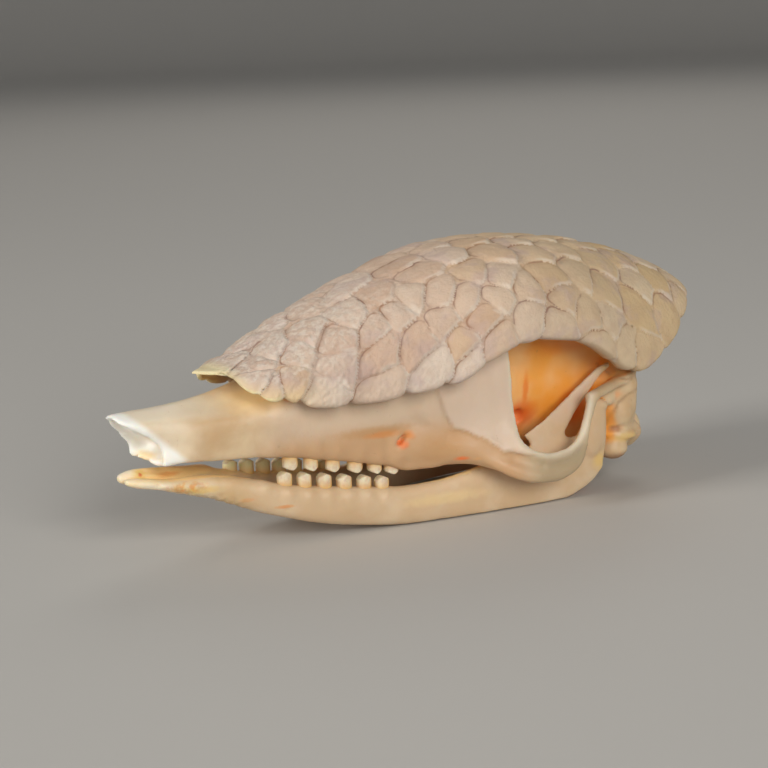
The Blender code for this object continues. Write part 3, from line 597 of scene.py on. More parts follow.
# %% Lower jaws
JAW_MIDDLE = [(1.6, 1.2), (4, 1.5), (7, 1.9), (12.4, 2.6), (17, 3.6), (22.6, 5.0), (26, 5.9), (33, 7.1),
              (41, 8.4), (50, 10.1), (60, 11.9), (70, 13.1), (82, 13.5)]
JAW_LOWER = [(1.6, 11.0), (3, 10.4), (7, 9.5), (11.7, 8.1), (14.5, 7.2), (18.6, 5.5), (22, 4.1),
             (26, 2.7), (30, 1.5), (36, 0.2), (42, -0.7), (48, -1.2), (60, -1.3), (71, -1.3),
             (74.5, -1.1), (77.6, -0.2), (80.2, 1.2), (81.9, 3.0)]
JAW_TIP_TOP = {LEFT: [(1.6, 11.9), (4, 11.7), (9, 10.9), (14, 10.8), (17.2, 10.5)],
               RIGHT: [(1.6, 12.2), (4, 12.5), (9, 12.0), (14, 11.3), (17.2, 10.9)]}
JAW_UPPER = [(19.8, 9.8), (23, 8.9), (26, 8.0), (33, 6.8), (41, 5.6), (46, 5.2), (50, 5.3), (55, 6.0),
             (60, 7.2), (66, 8.4), (72, 9.2), (79, 9.2), (82.6, 8.0)]
JAW_HALF = [(1.6, 0.8), (4, 1.5), (9, 2.0), (17, 1.9), (22.6, 1.7), (33, 1.8), (41, 1.8), (50, 1.5),
            (60, 1.1), (70, 0.85), (82.6, 0.8)]
JAW_STEP = 0.9
JAW_SIDES = 32
JAW_ROUND = 0.85
JAW_GAP = 0.15
JAW_LOWEST = 0.02 - JAW_SEAT
BLADE = [(69.5, 12.5, 7.5, 0.6, 4.4), (73.0, 12.6, 11.0, 0.5, 2.6), (76.6, 12.6, 14.4, 0.5, 1.65),
         (79.6, 12.8, 17.0, 0.5, 1.2), (82.0, 12.9, 18.9, 0.42, 0.9), (84.4, 12.9, 19.9, 0.35, 0.6)]
JOINT_NECK = [(79.0, 13.4, 6.0, 0.9, 3.4), (80.6, 13.6, 10.6, 0.9, 2.4), (81.4, 13.4, 13.2, 1.1, 1.8)]
JOINT_FORMS = [((81.4, 13.2, 13.6), (1.7, 2.0, 1.0), (0, 0, 0)),
               ((79.9, 14.4, 10.3), (2.5, 0.85, 4.9), (0, 6, -6))]
# Two small holes on the outside, and the long hollow between the tips
JAW_HOLLOWS = [((25.4, 7.9, 4.5), (1.15, 1.3, 0.26), (0, 14, 0)),
               ((6.2, 3.2, 10.6), (0.5, 0.6, 0.28), (0, 0, 0)),
               ((12.0, 0, 13.1), (10.0, 2.6, 2.3), (0, 4, 0))]
JAW_MELTS = (0.34, 3), (0.28, 3)


def jaw_rings(side):
    """Outlines across the rod of a jaw, from its tip to its rear corner."""
    lines = JAW_MIDDLE, JAW_LOWER, JAW_TIP_TOP[side] + JAW_UPPER, JAW_HALF
    middle, lower, upper, half = map(line_through, lines)
    first, last = JAW_LOWER[0][0], JAW_LOWER[-1][0]
    rings = []
    for x in np.linspace(first, last, round((last - first) / JAW_STEP) + 1):
        low, high = lower(x)[0], upper(x)[0]
        y, wide = middle(x)[0], half(x)[0]
        tall = (high - low) / 2
        ring = []
        for turn in around(JAW_SIDES):
            c, s = math.cos(turn), math.sin(turn)
            ring.append((x, side * (y + wide * math.copysign(abs(c) ** JAW_ROUND, c)),
                         low + tall + tall * math.copysign(abs(s) ** JAW_ROUND, s)))
        rings.append(ring)
    return rings


def make_jaw(name, side):
    parts = [loft(jaw_rings(side)), bar(BLADE, side), bar(JOINT_NECK, side)] + eggs(JOINT_FORMS, side)
    jaw = grow(parts, name, JAW_MELTS, JAW_HOLLOWS, side)
    points = read_points(jaw)
    points[:, 1] = side * np.maximum(side * points[:, 1], JAW_GAP)
    points[:, 2] = np.maximum(points[:, 2], JAW_LOWEST)
    write_points(jaw, points)
    return jaw


JAWS = [make_jaw("lower_jaw_left", LEFT), make_jaw("lower_jaw_right", RIGHT)]
print("lower jaws:", [faces_of(jaw) for jaw in JAWS], "triangles")

# %% [markdown]
# ## The teeth
# An armadillo's teeth are simple pegs without enamel, worn to low roofs where the upper and lower ones
# slide past each other. Each starts as a cylinder. Its worn end is inset a few times, and the new points
# fall away on both sides of a ridge. The edges are rounded by a bevel and a subdivision, and a little
# seeded chance makes no two alike.

# %% Teeth
UPPER_TOOTH_X = (23.4, 26.9, 30.3, 33.9, 37.6, 40.8, 43.8)
LOWER_TOOTH_X = (22.7, 26.1, 29.3, 32.5, 35.8, 39.0, 42.0)
UPPER_TOOTH_Y = [(23, 5.9), (27, 6.3), (34, 7.4), (44, 8.6)]
LOWER_TOOTH_Y = [(22, 5.0), (26, 5.8), (33, 7.0), (42, 8.5)]
BITE_LINE = [(22, 10.8), (26.5, 10.1), (34, 8.8), (42.5, 7.3), (48, 6.4)]
BITE_GAP = 0.3
TOOTH_ROOT = 1.6
TOOTH_LONG = 1.3
TOOTH_WIDE = 1.05
TOOTH_CHANCE = (0.92, 1.04)
TOOTH_LEAN = 0.12
TOOTH_SIDES = 20
CROWN_INSETS = (0.16, 0.3, 0.3)
ROOT_TAPER = 0.9
# How steeply the worn face falls from its ridge, its curve, and how its rim is worn besides
ROOF_FALL, ROOF_CURVE = 0.62, 1.3
RIM_FALL, RIM_FROM = 0.18, 0.6
TOOTH_BEVEL = 0.12
# How far a face has to look inwards to count as a side across the mouth
INNER_FACING = (-0.3, 0.5)
CHANCE = np.random.default_rng(5)


def tooth_places(side):
    """Every tooth on one side: its jaw, number, x, y, bite height and direction of its root."""
    first = 1 if side == LEFT else 0
    rows = (("upper", UPPER_TOOTH_X, UPPER_TOOTH_Y, 1), ("lower", LOWER_TOOTH_X, LOWER_TOOTH_Y, -1))
    for jaw, places, breadths, up in rows:
        for number, x in enumerate(places[first:], 1):
            y = side * line_through(breadths)(x)[0]
            yield jaw, number, x, y, line_through(BITE_LINE)(x)[0] + up * BITE_GAP / 2, up


def gum_height(jaw, x):
    return line_through(EDGE)(x)[1] if jaw == "upper" else line_through(JAW_UPPER)(x)[0]


def crown_places(points, x, y, tip, up, root):
    """A unit cylinder's points as a tooth: its worn end a low roof, its root end straight."""
    long = TOOTH_LONG * CHANCE.uniform(*TOOTH_CHANCE)
    wide = TOOTH_WIDE * CHANCE.uniform(*TOOTH_CHANCE)
    lean = CHANCE.uniform(-TOOTH_LEAN, TOOTH_LEAN)
    out = np.linalg.norm(points[:, :2], axis=1)
    crown = points[:, 2] > 0
    fall = ROOF_FALL * np.abs(points[:, 0]) ** ROOF_CURVE + RIM_FALL * np.clip(out - RIM_FROM, 0, 1)
    return np.column_stack([x + points[:, 0] * long * np.where(crown, 1.0, ROOT_TAPER) + lean * crown,
                            y + points[:, 1] * wide, np.where(crown, tip + up * fall, root)])


def make_tooth(name, jaw, x, y, tip, up):
    root = gum_height(jaw, x) + up * TOOTH_ROOT
    deselect()
    bpy.ops.mesh.primitive_cylinder_add(vertices=TOOTH_SIDES, radius=1, depth=1, end_fill_type="NGON")
    tooth = bpy.context.object
    tooth.name = name
    open_for_editing("DESELECT")
    worn = max(bmesh.from_edit_mesh(tooth.data).faces, key=lambda face: face.calc_center_median().z)
    worn.select_set(True)
    bmesh.update_edit_mesh(tooth.data)
    for inset in CROWN_INSETS:
        bpy.ops.mesh.inset(thickness=inset)
    bpy.ops.object.mode_set(mode="OBJECT")
    points = np.array([vert.co for vert in tooth.data.vertices])
    write_points(tooth, crown_places(points, x, y, tip, up, root))
    bevel = tooth.modifiers.new("rounded", "BEVEL")
    bevel.width = TOOTH_BEVEL * MM
    bevel.segments = 2
    fine = tooth.modifiers.new("fine", "SUBSURF")
    fine.levels = fine.render_levels = 2
    apply_all(tooth)
    open_for_editing()
    close_facing_out()
    bpy.ops.object.shade_smooth()
    above_root = 1 - np.abs(read_points(tooth)[:, 2] - tip) / abs(tip - root)
    store(tooth, "crown", np.clip(above_root, 0, 1))
    inwards = -math.copysign(1, y) * read_normals(tooth)[:, 1]
    store(tooth, "inner", smooth_step(*INNER_FACING, inwards))
    return tooth


TEETH = []
for side, side_name in ((LEFT, "left"), (RIGHT, "right")):
    for jaw, number, x, y, tip, up in tooth_places(side):
        node = f"{jaw}_tooth_{side_name}_{number}"
        TEETH.append((make_tooth(f"peg_{node}", jaw, x, y, tip, up), node))
print("teeth:", len(TEETH), "of about", faces_of(TEETH[0][0]), "triangles")

# %% [markdown]
# ## The head shield's outer form
# The shield is a dome of bony plates. Its outer form is a curved sheet between a crown line along the
# middle and a lower border on each side. A place on the sheet is given by two numbers: the run along the
# crown, and the share of the way down to the border. A fine grid of such places is kept in a table, so
# that any point and its outward direction can be read from it.

# %% The dome as a table
SHIELD_CROWN = [(17.8, 26.3), (20, 26.8), (23, 27.8), (26, 29.3), (29.4, 31.1), (33, 32.8), (37, 34.4),
                (44.3, 37.1), (52, 39.3), (60, 40.9), (68, 41.3), (76, 40.8), (84, 39.6), (90, 38.2),
                (96, 36.3), (101, 34.2), (104.6, 32.0), (106.6, 30.0)]
SHIELD_BORDER = [(17.8, 2.8, 26.1), (18.4, 5.0, 25.2), (19.0, 7.2, 24.1), (20.2, 9.0, 23.2),
                 (22, 10.4, 22.5), (25, 11.6, 22.0), (28, 12.6, 21.1), (31.4, 13.4, 20.7),
                 (36.6, 14.5, 20.7), (42.6, 16.0, 21.2), (47.5, 17.2, 21.8), (51.4, 18.4, 22.5),
                 (55.2, 19.4, 24.5), (60, 20.1, 26.6), (65, 20.4, 27.2), (70, 20.2, 26.6),
                 (75, 19.8, 25.2), (79, 19.1, 23.1), (82, 18.3, 21.2), (84, 17.8, 20.1),
                 (88, 16.8, 19.0), (92, 15.6, 19.8), (97, 13.8, 22.0), (101, 11.8, 24.8),
                 (104.6, 9.0, 27.8), (106.6, 6.0, 29.6)]
SHIELD_ROUND = 2.2
BEAK_FALL = -0.2
# The table reaches a little past both ends of the crown and past the border
PAST_ENDS = 4.0
PAST_BORDER = 1.15
TABLE_A, TABLE_W = 420, 241
# A value is read between two rows, so the last row is just out of reach
LAST_ROW = 1.001
CROWN_SAMPLES, ARC_SAMPLES = 300, 80


class Dome:
    """The shield's outer form, by run (a, millimetres) and share of the way down (w, -1 to 1)."""

    def __init__(self):
        crown, border = line_through(SHIELD_CROWN), line_through(SHIELD_BORDER)
        x = np.linspace(SHIELD_CROWN[0][0], SHIELD_CROWN[-1][0], CROWN_SAMPLES)
        top = np.column_stack([x, crown(x)[:, 0]])
        run = np.concatenate([[0], np.cumsum(np.linalg.norm(np.diff(top, axis=0), axis=1))])
        self.length = run[-1]
        self.a = np.linspace(-PAST_ENDS, self.length + PAST_ENDS, TABLE_A)
        self.w = np.linspace(-PAST_BORDER, PAST_BORDER, TABLE_W)
        turn = np.linspace(0, math.pi / 2, ARC_SAMPLES)
        xs = np.interp(self.a, run, x)
        self.half = np.empty(TABLE_A)
        self.place = np.empty((TABLE_A, TABLE_W, 3))
        power = 2 / SHIELD_ROUND
        for i, x_here in enumerate(xs):
            y, low = border(x_here)
            high = crown(x_here)[0]
            arc_y = y * np.sin(turn) ** power
            arc_z = low + (high - low) * np.clip(np.cos(turn), 0, 1) ** power
            arc = np.concatenate([[0], np.cumsum(np.hypot(np.diff(arc_y), np.diff(arc_z)))])
            self.half[i] = arc[-1]
            down = np.abs(self.w) * arc[-1]
            reach = np.minimum(down, arc[-1])
            self.place[i, :, 0] = x_here
            self.place[i, :, 1] = np.sign(self.w) * np.interp(reach, arc, arc_y)
            self.place[i, :, 2] = np.interp(reach, arc, arc_z) - (down - reach)
        front, rear = (top[3] - top[0]) / run[3], (top[-1] - top[-4]) / (run[-1] - run[-4])
        front[1] *= BEAK_FALL
        for slope, past in ((front, np.minimum(self.a, 0)), (rear, np.maximum(self.a - self.length, 0))):
            self.place[:, :, 0] += slope[0] * past[:, None]
            self.place[:, :, 2] += slope[1] * past[:, None]
        along = np.gradient(self.place, axis=0)
        across = np.gradient(self.place, axis=1)
        out = np.cross(along, across)
        self.out = out / np.linalg.norm(out, axis=2, keepdims=True)

    def read(self, table, a, w):
        """Values between the table's own places, weighed by how near each is."""
        i = np.clip((a - self.a[0]) / (self.a[1] - self.a[0]), 0, TABLE_A - LAST_ROW)
        j = np.clip((w - self.w[0]) / (self.w[1] - self.w[0]), 0, TABLE_W - LAST_ROW)
        i0, j0 = i.astype(int), j.astype(int)
        fi, fj = (i - i0)[:, None], (j - j0)[:, None]
        return ((table[i0, j0] * (1 - fj) + table[i0, j0 + 1] * fj) * (1 - fi)
                + (table[i0 + 1, j0] * (1 - fj) + table[i0 + 1, j0 + 1] * fj) * fi)

    def point(self, a, w, depth):
        """Places at the given depth under the outer form."""
        return self.read(self.place, a, w) - self.read(self.out, a, w) * np.asarray(depth)[:, None]

    def half_at(self, a):
        """The run from the crown down to the border."""
        return np.interp(a, self.a, self.half)


DOME = Dome()
print("shield: crown run", round(DOME.length, 1), "mm, widest half", round(DOME.half.max(), 1), "mm")

# %% [markdown]
# ## Where the scutes sit
# The plates that face the camera are laid out as the photograph shows them: the middle of each is given
# in the picture, and its line of sight is followed to the dome. The far side repeats them mirrored, with
# a little chance, and a lattice fills what is left. Each plate then owns all places that are nearer to
# its middle than to another.

# %% Middles of the scutes
SCUTES_SEEN = [(255, 383), (272, 393), (292, 377), (326, 394), (384.6, 384), (436.6, 367), (337, 365.8),
               (297, 354), (253, 364), (266, 347.5), (305, 330.6), (340.2, 338.3), (383, 352), (269.8, 323),
               (301.9, 306), (347.9, 312.2), (396.8, 310.7), (375.4, 330.6), (419.8, 339.8), (442.8, 316.8),
               (376.9, 293.9), (410, 294), (441.2, 292), (343.3, 286.2), (466.5, 293),
               (473.2, 273.1), (498, 296.3), (526.2, 288), (527.9, 316.2), (484.8, 316), (463.2, 342.7),
               (501.4, 339), (551.1, 276.4), (566, 296.3), (562.7, 324), (604.2, 289.7), (579.3, 271.4),
               (589.3, 314.6), (612.5, 319.9), (639, 281.4), (640.7, 311.2), (668.5, 314.6), (602.5, 344.4),
               (644, 351), (499.7, 274.8), (470, 366)]
SCUTES_PALE = [(436.6, 367), (470, 366), (326, 394)]
PALE_TONES = (1.5, 0.0)
NEAREST_MIDDLES = 4.1
FAR_CHANCE = 0.5
LATTICE_LONG, LATTICE_WIDE = 6.6, 5.2
LATTICE_CHANCE = 0.6
# The lattice keeps this far from the ends and from the border
LATTICE_ENDS, LATTICE_BORDER = 2, 1.5
CORNER_ROUND = 0.5
NEIGHBOURS = 6
AT_A_TIME = 8000


def middles_seen():
    """The middles given in the picture, as (a, b) on the dome: run along the crown, run down from it."""
    a, w = np.meshgrid(DOME.a, DOME.w, indexing="ij")
    flat = DOME.place.reshape(-1, 3)
    faces = []
    for i in range(TABLE_A - 1):
        for j in range(TABLE_W - 1):
            k = i * TABLE_W + j
            faces.append((k, k + 1, k + TABLE_W + 1, k + TABLE_W))
    tree = BVHTree.FromPolygons([tuple(spot(point)) for point in flat], faces)
    found = []
    for pixel in SCUTES_SEEN:
        place, _, face, _ = tree.ray_cast(*sight(pixel))
        if place is None:
            print("no dome under", pixel)
            continue
        corner = faces[face][0]
        found.append((a.ravel()[corner], w.ravel()[corner] * DOME.half_at(a.ravel()[corner])))
    return np.array(found)


def all_middles():
    """The middles that are seen, the same on the far side, and a lattice where there is still room."""
    chance = np.random.default_rng(3)
    middles = list(middles_seen())

    def free(place, room):
        return min(np.linalg.norm(place - other) for other in middles) > room

    for a, b in list(middles):
        far = np.array((a, -b)) + chance.uniform(-FAR_CHANCE, FAR_CHANCE, 2)
        if free(far, NEAREST_MIDDLES):
            middles.append(far)
    rows = int(DOME.half.max() / LATTICE_WIDE) + 1
    for column in range(int(DOME.length / LATTICE_LONG) + 1):
        for row in range(-rows, rows + 1):
            place = np.array(((column + 0.5) * LATTICE_LONG, (row + 0.5 * (column % 2)) * LATTICE_WIDE))
            place += chance.uniform(-LATTICE_CHANCE, LATTICE_CHANCE, 2)
            in_length = LATTICE_ENDS < place[0] < DOME.length - LATTICE_ENDS
            in_breadth = abs(place[1]) < DOME.half_at(place[0]) - LATTICE_BORDER
            if in_length and in_breadth and free(place, NEAREST_MIDDLES):
                middles.append(place)
    return np.array(middles)


MIDDLES = all_middles()
print("scutes:", len(MIDDLES))


def cell_reading(a, b):
    """For each place: its scute, how far its edge, rounded edge and middle are, and the way to the edge."""
    owner = np.empty(len(a), int)
    edge, soft_edge, middle = np.empty((3, len(a)))
    way = np.empty((len(a), 2))
    for start in range(0, len(a), AT_A_TIME):
        part = slice(start, start + AT_A_TIME)
        gap_a = a[part, None] - MIDDLES[None, :, 0]
        gap_b = b[part, None] - MIDDLES[None, :, 1]
        square = gap_a ** 2 + gap_b ** 2
        order = np.argpartition(square, NEIGHBOURS, axis=1)[:, :NEIGHBOURS]
        near = np.take_along_axis(square, order, 1)
        inner = np.argsort(near, axis=1)
        order, near = np.take_along_axis(order, inner, 1), np.take_along_axis(near, inner, 1)
        # The edge to a neighbour lies halfway between its middle and the scute's own
        apart = MIDDLES[order[:, 1:]] - MIDDLES[order[:, :1]]
        length = np.linalg.norm(apart, axis=2)
        edges = (near[:, 1:] - near[:, :1]) / (2 * length)
        nearest = edges.argmin(1)[:, None]
        edge[part] = np.take_along_axis(edges, nearest, 1)[:, 0]
        way[part] = (np.take_along_axis(apart, nearest[:, :, None], 1)
                     / np.take_along_axis(length, nearest, 1)[:, :, None])[:, 0]
        soft_edge[part] = -CORNER_ROUND * np.log(np.exp(-edges / CORNER_ROUND).sum(1))
        middle[part] = np.sqrt(near[:, 0])
        owner[part] = order[:, 0]
    return owner, edge, soft_edge, middle, way


# %% [markdown]
# ## The relief of the shield
# Every scute is a low cushion, a little higher at its lower and rear edge, where it seems to lap over the
# next. A fine line runs between them, and the surface is pitted like pumice, most of all at the front.
# Two sheets make the shield: a fine grid for the outside, laid on the dome and sunk by the relief, and a
# coarse grid for the inside. The grid's points that come near a line are drawn onto it first, so that the
# line stays sharp.

# %% Relief and sheets
GRID_A, GRID_B = 440, 215
INNER_A, INNER_B = 96, 48
INNER_WAVE, INNER_WAVE_SIZE, INNER_WAVE_FROM = 0.1, 3, 4
SHIELD_THICK = [(-3.5, 0.5), (-2.0, 0.6), (0, 0.5), (3, 0.7), (8, 1.4), (14, 2.0), (90, 2.0)]
BORDER_ROUND = 1.1
# The line between two scutes: its depth, its half width, and how near a grid point is drawn to it
GROOVE_DEEP, GROOVE_HALF, GROOVE_CATCH = 0.06, 0.2, 0.15
DRAWN_FROM = 0.3
SHOULDER_DEEP, SHOULDER_WIDE = 0.19, 0.7
# The lines are faint in places: the least strength, and the noise that decides on it
FAINTEST, FAINT_SIZE, FAINT_RANGE = 0.45, 5, (-0.35, 0.35)
CUSHION, CUSHION_REACH = 0.27, 4.2
# How much a scute rises to the rear and downwards, from the least to the most
LAP = ((0.02, 0.05), (0.045, 0.095))
LAP_FADE = (-0.1, 0.55)
# The depth of pits and lumps: everywhere, more in the crust, and more at the rear
PIT_SIZE, PIT_DEPTHS = 0.7, (0.05, 0.10, 0.03)
LUMP_SIZE, LUMP_DEPTHS = 2.1, (0.05, 0.13)
CRUST_ENDS = (10, 42)
REAR_SHARES, REAR_CALM = (0.72, 0.86), 0.5
# The way that counts as up for the stains and painted shadow, which means little close to a scute's middle
UPWARD, NEAR_MIDDLE = (0.6, 0.8), 0.5
BEAK_CALM, BEAK_ENDS = 0.2, (-1, 6)
BEAK_LONG, BEAK_BLUNT, BEAK_POINT = 3.3, 0.2, 0.8
# The border bows out at each scute, less over the cheek arch and near the front
BOW, BOW_IN, BOW_WIDE = 0.9, 0.35, 0.8
ARCH_ENDS = (34, 40), (62, 68)
LESS_OVER_ARCH, LEFT_AT_FRONT, FRONT_ENDS = 0.6, 0.3, (0, 6)
# Uneven edges: the size and the shift of two noises
WARPS = ((4.0, 0.75), (1.5, 0.24))


def wave(points, size, seed):
    """Smooth noise from -1 to 1 with features of about the given size in millimetres."""
    shift = Vector((seed * 17.3, seed * 5.1, seed * 9.7))
    return np.array([noise.noise(Vector(point) / size + shift) for point in points])


def flat_wave(a, b, size, seed):
    return wave(np.column_stack([a, b, np.zeros_like(a)]), size, seed)


def border_bow(a, b):
    """How far the border bows out: most at the middle of a scute, least between two."""
    edge = cell_reading(a, b)[1]
    return BOW * (1 - np.exp(-edge / BOW_WIDE)) - BOW_IN * BOW


def sheet_places(rows, columns):
    """Run and share for the points of a grid that follows the scalloped border."""
    u, v = np.meshgrid(np.linspace(0, 1, rows), np.linspace(-1, 1, columns), indexing="ij")
    u, v = u.ravel(), v.ravel()
    front_half, rear_half = DOME.half_at(np.array((0, DOME.length)))
    front = BEAK_LONG * (1 - np.abs(v)) ** BEAK_POINT + BEAK_BLUNT
    rear = border_bow(np.full_like(v, DOME.length), v * rear_half)
    a = -front + u * (DOME.length + front + rear)
    half = DOME.half_at(a)
    bow = border_bow(a, np.sign(v) * half)
    over_arch = smooth_step(*ARCH_ENDS[0], a) * (1 - smooth_step(*ARCH_ENDS[1], a))
    fade = smooth_step(*FRONT_ENDS, a) * (1 - LEFT_AT_FRONT) + LEFT_AT_FRONT
    fade = fade * (1 - LESS_OVER_ARCH * over_arch)
    w = v * (half + bow * fade * (half > front_half)) / half
    return a, w


def warped(a, b):
    """Places shifted a little by noise, which makes the straight edges of the scutes uneven."""
    (wide, far), (fine, near) = WARPS
    return (a + far * flat_wave(a, b, wide, 1) + near * flat_wave(a, b, fine, 2),
            b + far * flat_wave(a, b, wide, 3) + near * flat_wave(a, b, fine, 4))


def draw_to_grooves(a, w, inside):
    """Moves the points that are near an edge onto it, in two steps."""
    half = DOME.half_at(a)
    b = w * half
    for _ in range(2):
        _, edge, _, _, way = cell_reading(*warped(a, b))
        pull = (np.where(edge < GROOVE_CATCH, edge, 0) * inside)[:, None] * way
        a, b = a + pull[:, 0], b + pull[:, 1]
    return a, b / half


def shield_relief(a, w):
    """Depth of each point under the smooth dome, with the numbers that the material reads."""
    half = DOME.half_at(a)
    b = w * half
    owner, edge, soft_edge, middle, _ = cell_reading(*warped(a, b))
    crust = 1 - smooth_step(*CRUST_ENDS, a)
    rear = smooth_step(DOME.length * REAR_SHARES[0], DOME.length * REAR_SHARES[1], a)
    strength = FAINTEST + (1 - FAINTEST) * smooth_step(*FAINT_RANGE, flat_wave(a, b, FAINT_SIZE, 5))
    strength = strength * (1 - REAR_CALM * rear)
    depth = strength * (GROOVE_DEEP * np.clip(1 - edge / GROOVE_HALF, 0, 1)
                        + SHOULDER_DEEP * np.exp(-np.maximum(soft_edge, 0) / SHOULDER_WIDE))
    depth -= CUSHION * (1 - np.clip(middle / CUSHION_REACH, 0, 1) ** 2)
    from_middle = np.column_stack([a - MIDDLES[owner, 0], np.abs(b) - np.abs(MIDDLES[owner, 1])])
    lap = np.random.default_rng(9).uniform(*zip(*LAP), (len(MIDDLES), 2))[owner]
    depth -= (from_middle * lap).sum(1) * (1 - REAR_CALM * rear) * smooth_step(*LAP_FADE, edge)
    upper = -(from_middle @ UPWARD) / np.maximum(middle, NEAR_MIDDLE)
    pits, lumps = flat_wave(a, b, PIT_SIZE, 6), flat_wave(a, b, LUMP_SIZE, 7)
    all_over, in_crust, at_rear = PIT_DEPTHS
    depth += ((all_over + in_crust * crust + at_rear * rear) * pits
              + (LUMP_DEPTHS[0] + LUMP_DEPTHS[1] * crust) * lumps)
    depth *= BEAK_CALM + (1 - BEAK_CALM) * smooth_step(*BEAK_ENDS, a)
    return depth, {"edge": edge, "soft": soft_edge, "crust": crust, "upper": upper}, owner


def make_sheet(name, rows, columns):
    """A flat grid and the number of each of its points, row by row, ready to be laid on the dome."""
    deselect()
    bpy.ops.mesh.primitive_grid_add(x_subdivisions=rows - 1, y_subdivisions=columns - 1, size=1)
    sheet = bpy.context.object
    sheet.name = name
    flat = np.array([vert.co[:2] for vert in sheet.data.vertices]) + 0.5
    row = np.rint(flat[:, 0] * (rows - 1)).astype(int)
    column = np.rint(flat[:, 1] * (columns - 1)).astype(int)
    return sheet, row * columns + column


def thickness_at(a):
    return line_through(SHIELD_THICK)(a)[:, 0]


def make_outside():
    """The outer sheet, with its relief, its rounded border and what the material reads."""
    sheet, at = make_sheet("scute_shield", GRID_A, GRID_B)
    a, w = sheet_places(GRID_A, GRID_B)
    u = np.repeat(np.linspace(0, 1, GRID_A), GRID_B)
    v = np.tile(np.linspace(-1, 1, GRID_B), GRID_A)
    to_side = (1 - np.abs(v)) * DOME.half_at(a)
    to_border = np.minimum(to_side, np.minimum(u, 1 - u) * DOME.length)
    a, w = draw_to_grooves(a, w, to_border > DRAWN_FROM)
    depth, readings, owner = shield_relief(a, w)
    inward = np.clip(1 - to_border / BORDER_ROUND, 0, 1)
    depth = depth + BORDER_ROUND * (1 - np.sqrt(1 - inward ** 2)) * thickness_at(a) / SHIELD_THICK[-1][1]
    write_points(sheet, DOME.point(a, w, depth)[at])
    tones = np.random.default_rng(21).uniform(0, 1, (len(MIDDLES), 2))
    tones[[SCUTES_SEEN.index(pixel) for pixel in SCUTES_PALE]] = PALE_TONES
    readings |= {"tone": tones[owner, 0], "warm": tones[owner, 1]}
    for name, values in readings.items():
        store(sheet, name, values[at])
    return sheet


def make_inside():
    """The inner sheet, which lies under the outer one and faces the skull."""
    sheet, at = make_sheet("inner", INNER_A, INNER_B)
    a, w = sheet_places(INNER_A, INNER_B)
    uneven = INNER_WAVE * flat_wave(a, w * DOME.half_at(a), INNER_WAVE_SIZE, 8) * (a > INNER_WAVE_FROM)
    write_points(sheet, DOME.point(a, w, thickness_at(a) + uneven)[at])
    choose([sheet])
    open_for_editing()
    bpy.ops.mesh.flip_normals()
    return sheet


def make_shield():
    shield = join([make_outside(), make_inside()], "scute_shield")
    bpy.ops.object.mode_set(mode="EDIT")
    bpy.ops.mesh.select_mode(type="EDGE")
    bpy.ops.mesh.select_all(action="DESELECT")
    bpy.ops.mesh.select_non_manifold(extend=False, use_wire=False, use_boundary=True, use_multi_face=False,
                                     use_non_contiguous=False, use_verts=False)
    bpy.ops.mesh.bridge_edge_loops()
    bpy.ops.mesh.select_all(action="SELECT")
    bpy.ops.mesh.quads_convert_to_tris()
    close_facing_out()
    return shield


SHIELD = make_shield()
print("head shield:", faces_of(SHIELD), "triangles")

# %% [markdown]
# ## Wear on the bone
# Bone is never quite smooth: it swells over each tooth root, is faintly uneven everywhere, and fine seams
# show where its plates met. These are small moves of the finished skin along its normals. The seams are
# kept as an attribute too, so that the material can stain them.

# %% Swellings, unevenness and seams
SEAMS_SIDE = [[(91.0, 15.2), (88.2, 14.4), (85.8, 13.3), (84.8, 11.4), (84.4, 9.4)],
              [(83.2, 19.6), (85.4, 17.4), (88.8, 17.0)]]
SEAM_HALF, SEAM_DEEP = 0.22, 0.14
SEAM_WOBBLE, WOBBLE_SIZE = 0.35, 2.2
SEAM_FACING = (0.35, 0.7)
# The front edge of the cheek plate, as height and x
PLATE_EDGE = [(8.5, 65.7), (9.3, 61.5), (9.9, 59.1), (11.7, 57.0), (13.4, 53.9), (14.1, 52.2), (17.2, 50.8),
              (20.1, 49.9), (24, 49.2), (30, 48.8)]
PLATE_OUT = (10.2, 11.2)
PLATE_FROM, PLATE_ENDS = 46, (61, 68)
PLATE_FACING = (0.2, 0.5)
PLATE_SOFT = (-0.15, 0.3)
PLATE_STEP, STEP_LONG = 0.34, 3.5
# The hollow along the plate's foot: its depth, how far it lies in front, and its width
PLATE_FOOT, FOOT_AWAY, FOOT_WIDE = 0.28, 0.9, 1.1
FOOT_ENDS = (46, 50)
RIM_SHINE, RIM_SAMPLES = 1.0, 90
# Only points in this range of x and of breadth can be near the rim
RIM_X, RIM_OUT, FAR_OFF = (58, 80), 12, 9.0
# Swellings over the tooth roots: how far, how long, how high, and how far from the gum
UPPER_SWELLING = (0.22, 1.1, 1.5, 1.0)
LOWER_SWELLING = (0.18, 1.0, 1.2, -0.9)
PALATE_HALF = 3
# Unevenness: the size, depth and seed of each noise
SKULL_WAVES = ((5.0, 0.10, 14), (1.3, 0.035, 15))
JAW_WAVES = ((4.0, 0.07, 16), (1.1, 0.03, 17))
PLATE_WAVES = ((1.8, 0.25, 19),)
CHIN_WAVES = ((0.8, 0.16, 18),)
# The chin's rough underside: where it begins and ends, and how far a face has to look down
CHIN_ENDS, CHIN_DOWN = ((6, 10), (17, 22)), -0.2


def distance_to_line(points, line):
    """Distance in a plane from each point to a bent line."""
    best = np.full(len(points), 1e9)
    for start, end in zip(np.array(line[:-1], float), np.array(line[1:], float)):
        way = end - start
        t = np.clip((points - start) @ way / (way @ way), 0, 1)
        best = np.minimum(best, np.linalg.norm(points - start - t[:, None] * way, axis=1))
    return best


